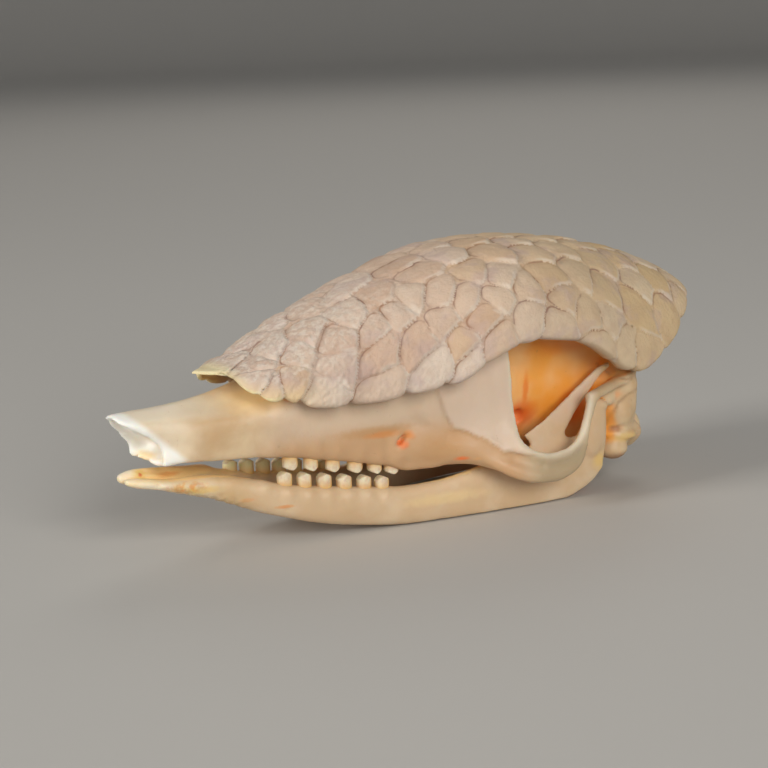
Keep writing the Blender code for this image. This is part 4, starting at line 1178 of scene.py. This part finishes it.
def rim_highlight_mask(points):
    """A painted highlight: one along the thin lip of the eye sockets, nothing away from it."""
    line = line_by_number(ARCH_RIM)(np.linspace(0, len(ARCH_RIM) - 1, RIM_SAMPLES))
    folded = np.column_stack([points[:, 0], np.abs(points[:, 1]), points[:, 2]])
    near = np.full(len(points), FAR_OFF)
    close = (folded[:, 0] > RIM_X[0]) & (folded[:, 0] < RIM_X[1]) & (folded[:, 1] > RIM_OUT)
    near[close] = np.min([np.linalg.norm(folded[close] - place, axis=1) for place in line], axis=0)
    return np.exp(-(near / RIM_SHINE) ** 2)


def seam_mask(points, normals):
    """One on the seams at the side of the head, which wander a little."""
    side = smooth_step(*SEAM_FACING, np.abs(normals[:, 1]))
    wobble = np.column_stack([wave(points, WOBBLE_SIZE, seed) for seed in (11, 12, 13)])
    near = points + wobble * SEAM_WOBBLE
    seam = np.zeros(len(points))
    for line in SEAMS_SIDE:
        gap = distance_to_line(near[:, [0, 2]], line)
        seam = np.maximum(seam, side * np.exp(-(gap / SEAM_HALF) ** 2))
    return seam


def plate_reading(points, normals):
    """The cheek plate: where the bone's outside is, and how far behind the plate's edge each place lies."""
    away = points[:, 0] - line_through(PLATE_EDGE)(points[:, 2])[:, 0]
    nearest = distance_to_line(points[:, [0, 2]], [(x, z) for z, x in PLATE_EDGE])
    beyond = np.copysign(nearest, away) + unevenness(points, PLATE_WAVES)
    outside = smooth_step(*PLATE_OUT, np.abs(points[:, 1])) * (points[:, 0] > PLATE_FROM)
    outside *= 1 - smooth_step(*PLATE_ENDS, points[:, 0])
    outside *= (normals[:, 1] * points[:, 1] > 0) * smooth_step(*PLATE_FACING, np.abs(normals[:, 1]))
    return outside, beyond


def swellings(points, jaw, places, swelling):
    """How far the bone swells over each tooth root."""
    far, long, high, up = swelling
    total = np.zeros(len(points))
    for x in places:
        above = points[:, 2] - gum_height(jaw, x) - up
        spread = ((points[:, 0] - x) / long) ** 2 + (above / high) ** 2
        total += far * np.exp(-spread)
    return total


def unevenness(points, waves):
    return sum(depth * wave(points, size, seed) for size, depth, seed in waves)


def wear_cranium(piece):
    points, normals = read_points(piece), read_normals(piece)
    seam = seam_mask(points, normals)
    # The cheek plate lies on the snout with a raised edge, and the bone is hollowed along its foot
    outside, beyond = plate_reading(points, normals)
    plate = outside * smooth_step(*PLATE_SOFT, beyond)
    foot = outside * (beyond < 0) * smooth_step(*FOOT_ENDS, points[:, 0])
    move = PLATE_STEP * plate * np.exp(-np.maximum(beyond, 0) / STEP_LONG)
    move -= foot * PLATE_FOOT * np.exp(-((beyond + FOOT_AWAY) / FOOT_WIDE) ** 2)
    move -= SEAM_DEEP * seam
    beside_palate = np.abs(points[:, 1]) > PALATE_HALF
    move += swellings(points, "upper", UPPER_TOOTH_X, UPPER_SWELLING) * beside_palate
    move += unevenness(points, SKULL_WAVES)
    write_points(piece, points + normals * move[:, None])
    store(piece, "seam", seam)
    store(piece, "plate", plate)
    # The rim of the eye socket, kept for a painted highlight
    store(piece, "rim", rim_highlight_mask(points))


def wear_jaw(piece):
    points, normals = read_points(piece), read_normals(piece)
    move = swellings(points, "lower", LOWER_TOOTH_X, LOWER_SWELLING)
    move += unevenness(points, JAW_WAVES)
    chin = smooth_step(*CHIN_ENDS[0], points[:, 0]) * (1 - smooth_step(*CHIN_ENDS[1], points[:, 0]))
    move += chin * (normals[:, 2] < CHIN_DOWN) * unevenness(points, CHIN_WAVES)
    moved = points + normals * move[:, None]
    moved[:, 2] = np.maximum(moved[:, 2], JAW_LOWEST)
    write_points(piece, moved)


wear_cranium(CRANIUM)
for jaw in JAWS:
    wear_jaw(jaw)
print("wear laid on", 1 + len(JAWS), "bones")

# %% [markdown]
# ## How sheltered each place is
# Light that goes into a hollow of bone comes back orange, because the thin walls glow and hand it on to
# each other. The colour therefore follows the form. For every point a fan of short rays is sent out, and
# the share of rays that meet bone is stored as its shelter. Open bone has nearly none, and the inside of
# the eye socket has a lot.

# %% Shelter
RAYS = 26
REACH = 15
OFF_SKIN = 0.25
GRAZING = 0.15
FAR_SHARE = 0.6


def sphere_fan(count):
    """Directions spread evenly over a sphere, laid out along a spiral."""
    fan = []
    for k in range(count):
        z = 1 - (2 * k + 1) / count
        turn = k * math.pi * (3 - math.sqrt(5))
        flat = math.sqrt(1 - z * z)
        fan.append(Vector((flat * math.cos(turn), flat * math.sin(turn), z)))
    return fan


def tree_of(pieces):
    work = bmesh.new()
    for piece in pieces:
        work.from_mesh(piece.data)
    tree = BVHTree.FromBMesh(work)
    work.free()
    return tree


def store_shelter(piece, tree, fan):
    """The share of rays that meet bone, where a near hit counts for more than a far one."""
    shelter = np.empty(len(piece.data.vertices))
    reach = REACH * MM
    for i, vert in enumerate(piece.data.vertices):
        start = vert.co + vert.normal * OFF_SKIN * MM
        sent = met = 0.0
        for way in fan:
            facing = way.dot(vert.normal)
            if facing > GRAZING:
                sent += facing
                distance = tree.ray_cast(start, way, reach)[3]
                if distance is not None:
                    met += facing * (1 - FAR_SHARE * distance / reach)
        shelter[i] = met / sent
    store(piece, "shelter", shelter)
    return shelter.mean()


BONE_TREE = tree_of([CRANIUM, SHIELD] + JAWS)
FAN = sphere_fan(RAYS)
for piece in [CRANIUM] + JAWS:
    print(piece.name, "mean shelter", round(store_shelter(piece, BONE_TREE, FAN), 3))

# %% [markdown]
# ## A few words for node trees
# A material is a small machine of nodes. These helpers keep each machine short to write. One adds a node
# and sets its sockets, one lays a stain over the colour that is there, one reads a stored attribute, and
# one marks an egg-shaped place on both sides of the skull.

# %% Material helpers
SPECKLE_SHIFT = Vector((1, 0.7, -1))
PATCH_EDGE = 1.5
PATCH_WOBBLE = 0.5
PATCH_SOFTNESS = 0.95


class Tree:
    """A material in the making: its nodes, and the colour that has been mixed so far."""

    def __init__(self, name):
        self.material = bpy.data.materials.new(name)
        self.material.use_nodes = True
        self.nodes = self.material.node_tree.nodes
        self.links = self.material.node_tree.links
        self.shader = self.nodes["Principled BSDF"]
        self.place = self.add("ShaderNodeTexCoord").outputs["Object"]
        self.left = self.folded()
        self.colour = None

    def folded(self):
        """The place, with the right half laid over the left one, so that both take the same stains."""
        x, y, z = self.add("ShaderNodeSeparateXYZ", Vector=self.place).outputs
        to_left = self.times(self.math("ABSOLUTE", y), -1.0)
        return self.add("ShaderNodeCombineXYZ", X=x, Y=to_left, Z=z).outputs[0]

    def add(self, kind, settings=None, **inputs):
        """A new node, with its settings and with a value or a link for each named socket."""
        node = self.nodes.new(kind)
        for name, value in (settings or {}).items():
            setattr(node, name, value)
        for name, value in inputs.items():
            self.set(node.inputs[name], value)
        return node

    def set(self, socket, value):
        """Links a socket to another one, or gives it a value of its own."""
        if isinstance(value, bpy.types.NodeSocket):
            self.links.new(value, socket)
        else:
            socket.default_value = value

    def reckon(self, kind, operation, values):
        made = self.add(kind, {"operation": operation})
        for socket, value in zip(made.inputs, values):
            self.set(socket, value)
        return made.outputs

    def math(self, operation, *values):
        return self.reckon("ShaderNodeMath", operation, values)[0]

    def vector_math(self, operation, *values):
        return self.reckon("ShaderNodeVectorMath", operation, values)

    def plus(self, first, second):
        return self.math("ADD", first, second)

    def times(self, *factors):
        """The product of its factors. Of masks, it is the place where all of them meet."""
        product = factors[0]
        for factor in factors[1:]:
            product = self.math("MULTIPLY", product, factor)
        return product

    def attribute(self, name):
        return self.add("ShaderNodeAttribute", {"attribute_name": name}).outputs["Fac"]

    def speckle(self, size, detail=3.0, rough=0.55, shift=0.0):
        """Noise with features of about the given size in millimetres."""
        place = self.vector_math("ADD", self.place, SPECKLE_SHIFT * shift)["Vector"]
        made = self.add("ShaderNodeTexNoise", Vector=place, Scale=1 / (size * MM), Detail=detail,
                        Roughness=rough)
        return made.outputs["Fac"]

    def ramp(self, value, low, high, start=0.0, end=1.0):
        """Goes from start at low to end at high, without corners. Low may be the larger of the two."""
        made = self.add("ShaderNodeMapRange", {"interpolation_type": "SMOOTHSTEP"}, Value=value)
        for socket, number in zip(made.inputs[1:5], (low, high, start, end)):
            socket.default_value = number
        return made.outputs[0]

    def mix(self, mask, first, second):
        made = self.add("ShaderNodeMix", {"data_type": "RGBA"})
        self.set(made.inputs["Factor"], mask)
        for socket, value in ((made.inputs[6], first), (made.inputs[7], second)):
            self.set(socket, value if isinstance(value, bpy.types.NodeSocket) else (*value, 1))
        return made.outputs[2]

    def stain(self, colour, mask, amount=1.0):
        """Lays a colour over what is there, as far as the mask and the amount let it show."""
        self.colour = self.mix(self.times(mask, amount), self.colour, colour)

    def patch(self, centre, half_sizes, softness=PATCH_SOFTNESS):
        """One inside an egg-shaped place of both halves of the skull, fading to nothing at its edge."""
        shift = self.vector_math("SUBTRACT", self.left, spot(centre))["Vector"]
        scaled = self.vector_math("DIVIDE", shift, [size * MM for size in half_sizes])["Vector"]
        length = self.vector_math("LENGTH", scaled)["Value"]
        wobble = self.times(self.speckle(min(half_sizes), 2, shift=centre[0]), PATCH_WOBBLE)
        return self.ramp(self.plus(length, wobble), PATCH_EDGE, PATCH_EDGE - softness)

    def stain_patches(self, patches, softness=PATCH_SOFTNESS):
        for centre, half_sizes, colour, amount in patches:
            self.stain(colour, self.patch(centre, half_sizes, softness), amount)

    def along(self, axis):
        """The place along one axis, in millimetres from the nose tip."""
        parts = self.add("ShaderNodeSeparateXYZ", Vector=self.place)
        return self.math("MULTIPLY_ADD", parts.outputs[axis], 1 / MM, FRONT["XYZ".index(axis)])

    def facing(self, axis):
        """How far the surface faces along one axis, from -1 to 1."""
        normal = self.add("ShaderNodeNewGeometry").outputs["Normal"]
        return self.add("ShaderNodeSeparateXYZ", Vector=normal).outputs[axis]

    def finish(self, roughness, height, strength, distance, specular):
        """Hands the mixed colour to the shader, with its roughness, its fine bump and its gloss."""
        self.set(self.shader.inputs["Base Color"], self.colour)
        self.set(self.shader.inputs["Roughness"], roughness)
        bump = self.add("ShaderNodeBump", Strength=strength, Distance=distance * MM, Height=height)
        self.set(self.shader.inputs["Normal"], bump.outputs[0])
        self.shader.inputs["Specular IOR Level"].default_value = specular

    def glow(self, weight, radius, scale):
        """Light that wanders a little way through the bone."""
        self.shader.inputs["Subsurface Weight"].default_value = weight
        self.shader.inputs["Subsurface Radius"].default_value = radius
        self.shader.inputs["Subsurface Scale"].default_value = scale * MM


# %% [markdown]
# ## The colours of old bone
# Cleaned bone is ivory where it was bleached by light and tan where fat stayed in it. The skull and the
# jaws both start from clouds of two tones. On the upper skull, painted glow turns the hollows peach, orange
# and deep orange as the shelter grows, and on the jaws the sheltered inner sides take a yellow painted
# light. Soft patches carry the stains of the near side, with painted glow, shade and highlight among them,
# and the far side takes the same ones. A very fine bump keeps the bone from looking like wax.

# %% Bone
IVORY = (0.76, 0.59, 0.38)
TAN = (0.62, 0.42, 0.23)
RUST_TAN = (0.58, 0.33, 0.15)
LILAC = (0.70, 0.54, 0.41)
WHITE_BONE_AND_HIGHLIGHT = (0.90, 0.82, 0.66)
NOSE_LIT_WHITE = (0.98, 0.96, 0.90)
DUN_AND_SHADE = (0.46, 0.355, 0.22)
PEACH = (0.80, 0.42, 0.16)
ORANGE = (0.80, 0.27, 0.04)
EMBER = (0.62, 0.09, 0.01)
GLOW_ORANGE = (1.0, 0.41, 0.05)
GLOW_PEACH = (1.0, 0.54, 0.20)
GLOW_DEEP = (0.92, 0.25, 0.03)
GLOW_RED = (0.80, 0.13, 0.01)
VERMILION = (0.95, 0.18, 0.02)
OLIVE = (0.50, 0.33, 0.17)
SUN = (0.95, 0.66, 0.30)
SEAM_BROWN = (0.30, 0.15, 0.07)
AMBER = (0.84, 0.58, 0.16)
HONEY = (0.66, 0.45, 0.23)
BUTTER = (0.86, 0.66, 0.34)
UMBER = (0.30, 0.12, 0.06)


def paint_hollow_glow(tree, shelter, start):
    """Painted glow: peach, orange and deep orange as the shelter grows past its start."""
    tree.stain(PEACH, tree.ramp(shelter, start, start + 0.2))
    tree.stain(ORANGE, tree.ramp(shelter, start + 0.15, start + 0.35))
    tree.stain(EMBER, tree.ramp(shelter, start + 0.35, start + 0.5), 0.6)


def bone_finish(tree, smoothest, roughest):
    roughness = tree.ramp(tree.speckle(3, 3, shift=0.3), 0.3, 0.7, smoothest, roughest)
    tree.finish(roughness, height=tree.speckle(0.5, 4), strength=0.25, distance=0.12, specular=0.42)
    tree.glow(weight=0.22, radius=(1.0, 0.45, 0.2), scale=2.0)


# %% The upper skull's stains, painted glow and painted shade: centre, half sizes, colour and amount
SKULL_PATCHES = [
    # Tan under the cheek plate's edge, partly the bone's own colour and partly painted shade
    ((40.0, -10.6, 14.7), (9.0, 2.6, 1.1), RUST_TAN, 0.8),
    ((52.0, -13.0, 12.0), (5.0, 2.6, 2.0), RUST_TAN, 0.85),
    ((50.5, -12.4, 10.2), (4.5, 3.0, 1.5), RUST_TAN, 0.5),
    # Painted glow in and around the small hole of the cheek
    ((45.5, -11.0, 13.6), (1.1, 2.0, 0.9), ORANGE, 0.65),
    ((44.4, -10.8, 12.3), (1.1, 2.0, 0.9), VERMILION, 0.7),
    ((41.4, -10.4, 14.2), (3.6, 2.0, 0.7), ORANGE, 0.45),
    # Red and peach marks under the root of the cheek arch
    ((53.4, -13.7, 9.2), (1.3, 2.0, 0.45), VERMILION, 0.8),
    ((55.4, -14.4, 9.0), (0.9, 2.0, 0.4), PEACH, 0.6),
    # Painted glow inside the eye socket, with painted shade at its bottom
    ((69.0, -9.6, 12.4), (3.6, 3.4, 3.4), GLOW_RED, 0.85),
    ((67.6, -9.6, 13.2), (1.2, 3.4, 1.6), VERMILION, 0.9),
    ((69.3, -10.0, 17.2), (0.7, 3.0, 3.2), GLOW_DEEP, 0.8),
    ((69.0, -10.0, 9.6), (1.4, 3.0, 1.0), UMBER, 0.5),
    # Painted glow on the braincase wall behind the eye socket, olive at the foot of its slot
    ((77.0, -11.5, 24.0), (9.0, 4.5, 2.0), GLOW_DEEP, 0.5),
    ((85.4, -11.0, 14.8), (2.0, 3.0, 1.2), GLOW_DEEP, 0.6),
    ((78.8, -9.6, 12.6), (3.0, 3.6, 4.0), VERMILION, 0.75),
    ((77.8, -9.8, 7.8), (1.6, 3.0, 1.6), OLIVE, 0.8),
    # Painted light under the front edge of the shield, with painted glow in the gap beside the snout
    ((22.0, -6.5, 23.2), (7.5, 5.0, 3.4), SUN, 0.9),
    ((27.4, -8.4, 21.8), (2.0, 3.0, 0.9), GLOW_DEEP, 0.75),
    ((17.6, -3.0, 24.2), (1.6, 3.0, 0.8), SUN, 0.7),
    # Yellow low in the broken nose end
    ((6.4, -1.0, 14.4), (1.5, 3.4, 0.8), SUN, 0.7),
    # Painted shade in and under the crevices of the ear, with amber between them
    ((86.2, -12.6, 3.6), (3.4, 3.0, 1.5), UMBER, 0.6),
    ((87.6, -13.0, 7.2), (3.6, 2.0, 0.9), AMBER, 0.5),
    ((85.4, -13.0, 8.8), (1.6, 1.6, 0.7), UMBER, 0.7),
]


def skull_bone():
    tree = Tree("skull_bone")
    x, y, z = (tree.along(axis) for axis in "XYZ")
    out = tree.math("ABSOLUTE", y)
    tree.colour = tree.mix(tree.ramp(tree.speckle(9, 4), 0.35, 0.68), IVORY, TAN)
    # The middle of the snout, browner above the teeth, and the cheek plate behind it
    snout = tree.times(tree.ramp(x, 18, 27), tree.ramp(x, 66, 60))
    tree.stain(LILAC, snout, 0.75)
    tree.stain(RUST_TAN, tree.times(snout, tree.ramp(z, 17.0, 13.0)), 0.75)
    tree.stain(LILAC, tree.attribute("plate"))
    # The cheek arch, duller, with painted shade along its lower border, which faces down
    arch = tree.times(tree.ramp(x, 60, 66), tree.ramp(out, 14.5, 16))
    tree.stain(DUN_AND_SHADE, arch, tree.ramp(z, 10.5, 8.0, 0.45, 0.9))
    # The front of the snout: a painted highlight on top, and whiter towards the tip, partly painted
    # highlight
    ridge = tree.times(tree.ramp(tree.facing("Z"), 0.45, 0.85), tree.ramp(x, 22, 12))
    tree.stain(WHITE_BONE_AND_HIGHLIGHT, ridge, 0.45)
    tree.stain(WHITE_BONE_AND_HIGHLIGHT, tree.ramp(x, 14, 7), 0.55)
    # Painted light on the lit inside of the broken nose end
    behind_break = tree.plus(z, tree.times(x, 0.95))
    tree.stain(NOSE_LIT_WHITE, tree.times(tree.ramp(x, 11.5, 8.5), tree.ramp(behind_break, 24.6, 23.0)))
    # The hollows and the wall of the braincase inside the cheek arch take painted glow of light through
    # bone
    hollow_glow = tree.times(tree.attribute("shelter"), tree.ramp(x, 32, 44))
    paint_hollow_glow(tree, hollow_glow, start=0.46)
    temple = tree.times(tree.ramp(x, 57, 60), tree.ramp(x, 88, 84), tree.ramp(out, 13.4, 12.6),
                        tree.ramp(z, 6.0, 7.5))
    clouds = tree.ramp(tree.speckle(9, 2, shift=6.1), 0.40, 0.65)
    tree.stain(tree.mix(clouds, GLOW_ORANGE, GLOW_PEACH), temple, 0.95)
    tree.stain_patches(SKULL_PATCHES)
    # A painted highlight along the rim of the eye socket, then the seams and a few brown flecks
    tree.stain(WHITE_BONE_AND_HIGHLIGHT, tree.attribute("rim"), 0.9)
    tree.stain(SEAM_BROWN, tree.attribute("seam"), 0.5)
    tree.stain(SEAM_BROWN, tree.ramp(tree.speckle(1.1, 2, shift=1.7), 0.70, 0.76), 0.15)
    bone_finish(tree, smoothest=0.4, roughest=0.58)
    return tree.material


# %% The jaws' stains
JAW_PATCHES = [
    ((12.0, -1.2, 11.2), (12.0, 2.8, 1.6), SUN, 0.95),
    ((4.9, -0.6, 11.9), (1.3, 1.6, 0.8), AMBER, 0.7),
    ((4.9, -0.4, 11.8), (0.4, 0.5, 0.4), EMBER, 0.8),
    ((9.8, -0.6, 11.1), (2.8, 1.0, 0.5), ORANGE, 0.5),
    ((12.2, -4.6, 9.0), (3.6, 2.0, 0.7), AMBER, 0.6),
    ((25.0, -7.8, 4.9), (1.7, 1.6, 0.35), ORANGE, 0.6),
    ((19.4, -6.2, 6.6), (1.4, 1.4, 0.4), ORANGE, 0.3),
    ((80.8, -13.8, 4.4), (1.6, 2.0, 1.8), AMBER, 0.55),
    ((52.0, -11.6, 2.6), (9.0, 2.6, 1.1), BUTTER, 0.5),
    ((38.0, -9.6, 2.0), (5.0, 2.0, 1.6), OLIVE, 0.2),
    ((76.0, -13.0, 17.0), (9.0, 2.0, 6.0), LILAC, 0.7),
]
JAW_SOFTNESS = 0.9
# A mottled place near the tip: its centre and half sizes, then the size, shift and colour of its spots
MOTTLED = (10.0, -4.2, 9.7), (4.2, 2.4, 1.0)
MOTTLES = ((1.6, 2.0, AMBER), (0.9, 3.3, ORANGE), (1.2, 5.1, RUST_TAN))


def jaw_bone():
    tree = Tree("jaw_bone")
    x = tree.along("X")
    tree.colour = tree.mix(tree.ramp(tree.speckle(8, 4, shift=0.9), 0.25, 0.6), IVORY, HONEY)
    tree.stain(LILAC, tree.ramp(x, 14, 24), 0.35)
    # Whiter towards the tip, partly the bone's own colour and partly a painted highlight
    tree.stain(WHITE_BONE_AND_HIGHLIGHT, tree.ramp(x, 18, 3), 0.9)
    # Painted light: the sheltered inner sides of the jaws turn yellow as if lit
    tree.stain(SUN, tree.ramp(tree.attribute("shelter"), 0.40, 0.62), 0.85)
    tree.stain_patches(JAW_PATCHES, JAW_SOFTNESS)
    for size, shift, colour in MOTTLES:
        spots = tree.ramp(tree.speckle(size, 3, shift=shift), 0.42, 0.64)
        tree.stain(colour, tree.times(tree.patch(*MOTTLED), spots), 0.6)
    bone_finish(tree, smoothest=0.38, roughest=0.55)
    return tree.material


# %% Tooth
TOOTH_CREAM = (0.86, 0.76, 0.56)
TOOTH_PINK = (0.76, 0.58, 0.42)
TOOTH_LIT_YELLOW = (1.0, 0.92, 0.56)
TOOTH_NECK_AND_SHADE = (0.84, 0.45, 0.10)


def peg_tooth():
    """Cream pegs: yellow painted light across the mouth, orange painted shade behind, and orange at the
    neck.
    """
    tree = Tree("peg_tooth")
    tree.colour = tree.mix(tree.ramp(tree.speckle(0.9, 3), 0.35, 0.7), TOOTH_CREAM, TOOTH_PINK)
    tree.stain(TOOTH_LIT_YELLOW, tree.attribute("inner"))
    # Painted shade on the faces that turn back, away from the lamp at the front
    tree.stain(TOOTH_NECK_AND_SHADE, tree.ramp(tree.facing("X"), 0.2, 0.8), 0.75)
    # Orange towards the gum, partly painted shade between the teeth
    tree.stain(TOOTH_NECK_AND_SHADE, tree.ramp(tree.attribute("crown"), 0.85, 0.2))
    bone_finish(tree, smoothest=0.28, roughest=0.42)
    return tree.material


# %% [markdown]
# ## The colours of the shield
# The scutes are duller and pinker than the skull, white and crusty at the front and khaki at the back.
# Each one has its own tone. The grooves hold old brown and purple stains, but not everywhere: noise
# decides where they are dark and where they fade. Painted shadow darkens each scute's upper edge and a
# painted highlight lightens its lower one, the crust's white where it faces up is partly painted
# highlight, and the point's shaded underside is painted yellow. Fine pits give the matte, porous look of
# bare bony skin.

# %% Scutes
SCUTE_ROSE = (0.54, 0.36, 0.27)
SCUTE_PINK = (0.62, 0.43, 0.315)
SCUTE_KHAKI = (0.66, 0.48, 0.27)
SCUTE_WHITE_AND_HIGHLIGHT = (0.78, 0.70, 0.61)
SCUTE_MOTTLE_AND_SHADOW = (0.42, 0.26, 0.17)
SCUTE_LILAC = (0.50, 0.37, 0.36)
BEAK_YELLOW = (0.90, 0.78, 0.46)
GROOVE_BROWN = (0.28, 0.12, 0.06)
GROOVE_PURPLE = (0.17, 0.07, 0.08)
LINE_INSET = 0.08


def scute_bone():
    tree = Tree("scute_bone")
    edge, soft, crust, upper = (tree.attribute(name) for name in ("edge", "soft", "crust", "upper"))
    x = tree.along("X")
    up = tree.facing("Z")
    # Rose in front, pink in the middle and khaki behind, with a tone of its own for each scute
    tree.colour = tree.mix(tree.ramp(x, 24, 46), SCUTE_ROSE, SCUTE_PINK)
    tree.stain(SCUTE_KHAKI, tree.ramp(x, 42, 90))
    tree.stain(SCUTE_WHITE_AND_HIGHLIGHT, tree.attribute("tone"), 0.4)
    tree.stain(HONEY, tree.ramp(tree.attribute("warm"), 0.55, 1.0), 0.3)
    tree.stain(SCUTE_MOTTLE_AND_SHADOW, tree.ramp(tree.speckle(3.4, 4), 0.45, 0.7), 0.22)
    tree.stain(SCUTE_LILAC, tree.ramp(tree.speckle(5.5, 3, shift=4.4), 0.50, 0.66), 0.4)
    # The front: warm at its lower border, chalky with painted highlight on top, and yellow at its thin
    # point
    tree.stain(BUTTER, tree.times(tree.ramp(x, 34, 20), tree.ramp(tree.along("Z"), 25.5, 22.5)), 0.6)
    chalk_and_highlight = tree.ramp(tree.speckle(1.1, 4, 0.65, 2.2), 0.42, 0.62, 0.25, 1.0)
    tree.stain(SCUTE_WHITE_AND_HIGHLIGHT, tree.times(crust, chalk_and_highlight, tree.ramp(up, 0.45, 0.85)), 0.7)
    tree.stain(BEAK_YELLOW, tree.ramp(x, 20.5, 17.5), 0.8)
    # Painted light: the shaded underside of the point turns yellow
    tree.stain(BEAK_YELLOW, tree.times(tree.ramp(up, 0.1, -0.4), tree.ramp(x, 25, 21)))
    # The lines between scutes, only where old stain has stayed, with painted shadow at a scute's upper edge
    stained = tree.ramp(tree.speckle(6, 3, shift=0.6), 0.36, 0.60, 0.15, 1.0)
    above = tree.ramp(upper, 0.0, 0.7, 0.06, 1.0)
    purple = tree.ramp(tree.speckle(9, 2, shift=3.1), 0.50, 0.56)
    off_line = tree.math("ABSOLUTE", tree.plus(soft, -LINE_INSET))
    ragged = tree.times(tree.speckle(0.8, 3, shift=5.0), 0.2)
    thin = tree.ramp(tree.plus(off_line, ragged), 0.32, 0.08)
    tree.stain(tree.mix(purple, GROOVE_BROWN, GROOVE_PURPLE), tree.times(thin, stained, above), 0.9)
    # Painted shadow near each scute's upper edge, and a painted highlight along its lower edge
    tree.stain(SCUTE_MOTTLE_AND_SHADOW, tree.times(tree.ramp(edge, 1.3, 0.05), above, stained), 0.4)
    tree.stain(SCUTE_WHITE_AND_HIGHLIGHT, tree.times(tree.ramp(edge, 0.8, 0.3), tree.ramp(upper, -0.3, -0.8)), 0.45)
    pits = tree.plus(tree.speckle(0.42, 5, 0.7), tree.times(tree.speckle(1.2, 3, 0.6, 1.1), 0.8))
    roughness = tree.ramp(tree.speckle(2, 3), 0.3, 0.7, 0.62, 0.82)
    tree.finish(roughness, height=pits, strength=0.6, distance=0.28, specular=0.3)
    tree.glow(weight=0.12, radius=(1.0, 0.5, 0.3), scale=1.2)
    return tree.material


# %% Painting the pieces
def paint(piece, material):
    piece.data.materials.clear()
    piece.data.materials.append(material)
    choose([piece])
    bpy.ops.object.shade_smooth()


paint(CRANIUM, skull_bone())
JAW_BONE = jaw_bone()
for jaw in JAWS:
    paint(jaw, JAW_BONE)
PEG = peg_tooth()
for tooth, _ in TEETH:
    paint(tooth, PEG)
paint(SHIELD, scute_bone())
print("materials:", [material.name for material in bpy.data.materials])

# %% [markdown]
# ## Floor and light
# The skull stands on a plain pale floor that curves up into a wall all round, like a photographer's paper
# sweep, so that no horizon shows from any side. A small lamp ahead of the snout lights the nose and the
# crown, as in the photograph, a broader one on the camera's side fills the eye socket, and a weak one
# lifts the back.

# %% Floor
FLOOR_GREY = (0.56, 0.55, 0.53, 1)
FLOOR_ROUGH = 0.7
FLOOR_SIDES = 96
FLOOR_BELOW = 0.0002
FLOOR_FLAT = 1.9
WALL_BEND = 0.5
WALL_TOP = 1.6
BEND_STEPS = 8


def add_floor():
    deselect()
    bpy.ops.mesh.primitive_circle_add(vertices=FLOOR_SIDES, radius=FLOOR_FLAT, fill_type="NGON",
                                      location=(0, 0, -FLOOR_BELOW))
    floor = bpy.context.object
    floor.name = "floor"
    open_for_editing()
    bpy.ops.mesh.region_to_loop()
    # The floor's edge rises through the bend, and the last step goes straight up
    radius, height = FLOOR_FLAT, 0.0
    for step in range(1, BEND_STEPS + 2):
        turn = min(step / BEND_STEPS, 1) * math.pi / 2
        wide = FLOOR_FLAT + WALL_BEND * math.sin(turn)
        high = WALL_BEND * (1 - math.cos(turn)) if step <= BEND_STEPS else WALL_TOP
        bpy.ops.mesh.extrude_edges_move(TRANSFORM_OT_translate={"value": (0, 0, high - height)})
        bpy.ops.transform.resize(value=(wide / radius, wide / radius, 1))
        radius, height = wide, high
    bpy.ops.object.mode_set(mode="OBJECT")
    grey = bpy.data.materials.new("floor_grey")
    grey.use_nodes = True
    shader = grey.node_tree.nodes["Principled BSDF"]
    shader.inputs["Base Color"].default_value = FLOOR_GREY
    shader.inputs["Roughness"].default_value = FLOOR_ROUGH
    paint(floor, grey)
    floor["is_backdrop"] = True


add_floor()
print("floor:", FLOOR_FLAT, "m to where the wall begins")

# %% Lamps and world
# Name, place, size in metres, power in watts and colour
LAMPS = [("key", (-1.15, 0.08, 0.44), 0.35, 8.6, (1.0, 0.97, 0.91)),
         ("front", (-0.20, -1.30, 0.60), 0.70, 13.0, (1.0, 0.97, 0.92)),
         ("back", (0.70, 0.85, 0.80), 0.60, 1.8, (1.0, 0.94, 0.86))]
LAMP_AIM = Vector((0, 0, 0.02))
WORLD_GREY = (0.80, 0.81, 0.83, 1)
WORLD_STRENGTH = 0.16


def add_lamp(name, place, size, power, colour):
    data = bpy.data.lights.new(name, "AREA")
    data.size = size
    data.energy = power
    data.color = colour
    lamp = bpy.data.objects.new(name, data)
    bpy.context.scene.collection.objects.link(lamp)
    lamp.location = place
    lamp.rotation_euler = (LAMP_AIM - Vector(place)).to_track_quat("-Z", "Y").to_euler()


def add_world():
    world = bpy.data.worlds.new("studio")
    bpy.context.scene.world = world
    world.use_nodes = True
    background = world.node_tree.nodes["Background"]
    background.inputs["Color"].default_value = WORLD_GREY
    background.inputs["Strength"].default_value = WORLD_STRENGTH


for row in LAMPS:
    add_lamp(*row)
add_world()
bpy.context.scene.view_settings.view_transform = "Standard"
bpy.context.scene.cycles.use_denoising = True
print("lamps:", [lamp.name for lamp in bpy.data.lights])

# %% [markdown]
# ## Handing the pieces to the frame
# Every fine piece stands for its plain one in the imported model, which is hidden. A skull has no joints,
# so all of them ride on the one body. The number of triangles in all is printed last.

# %% Riding, replacing and finishing
BONES = [(CRANIUM, "cranium", "bone"), (JAWS[0], "mandible_left", "jaw_bone"),
         (JAWS[1], "mandible_right", "jaw_bone"), (SHIELD, "head_shield", "scute_bone")]
for piece, node, slot in BONES + [(tooth, node, "tooth") for tooth, node in TEETH]:
    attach(piece, "root")
    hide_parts(node)
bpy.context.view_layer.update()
print("triangles in all:", sum(faces_of(piece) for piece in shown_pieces()))
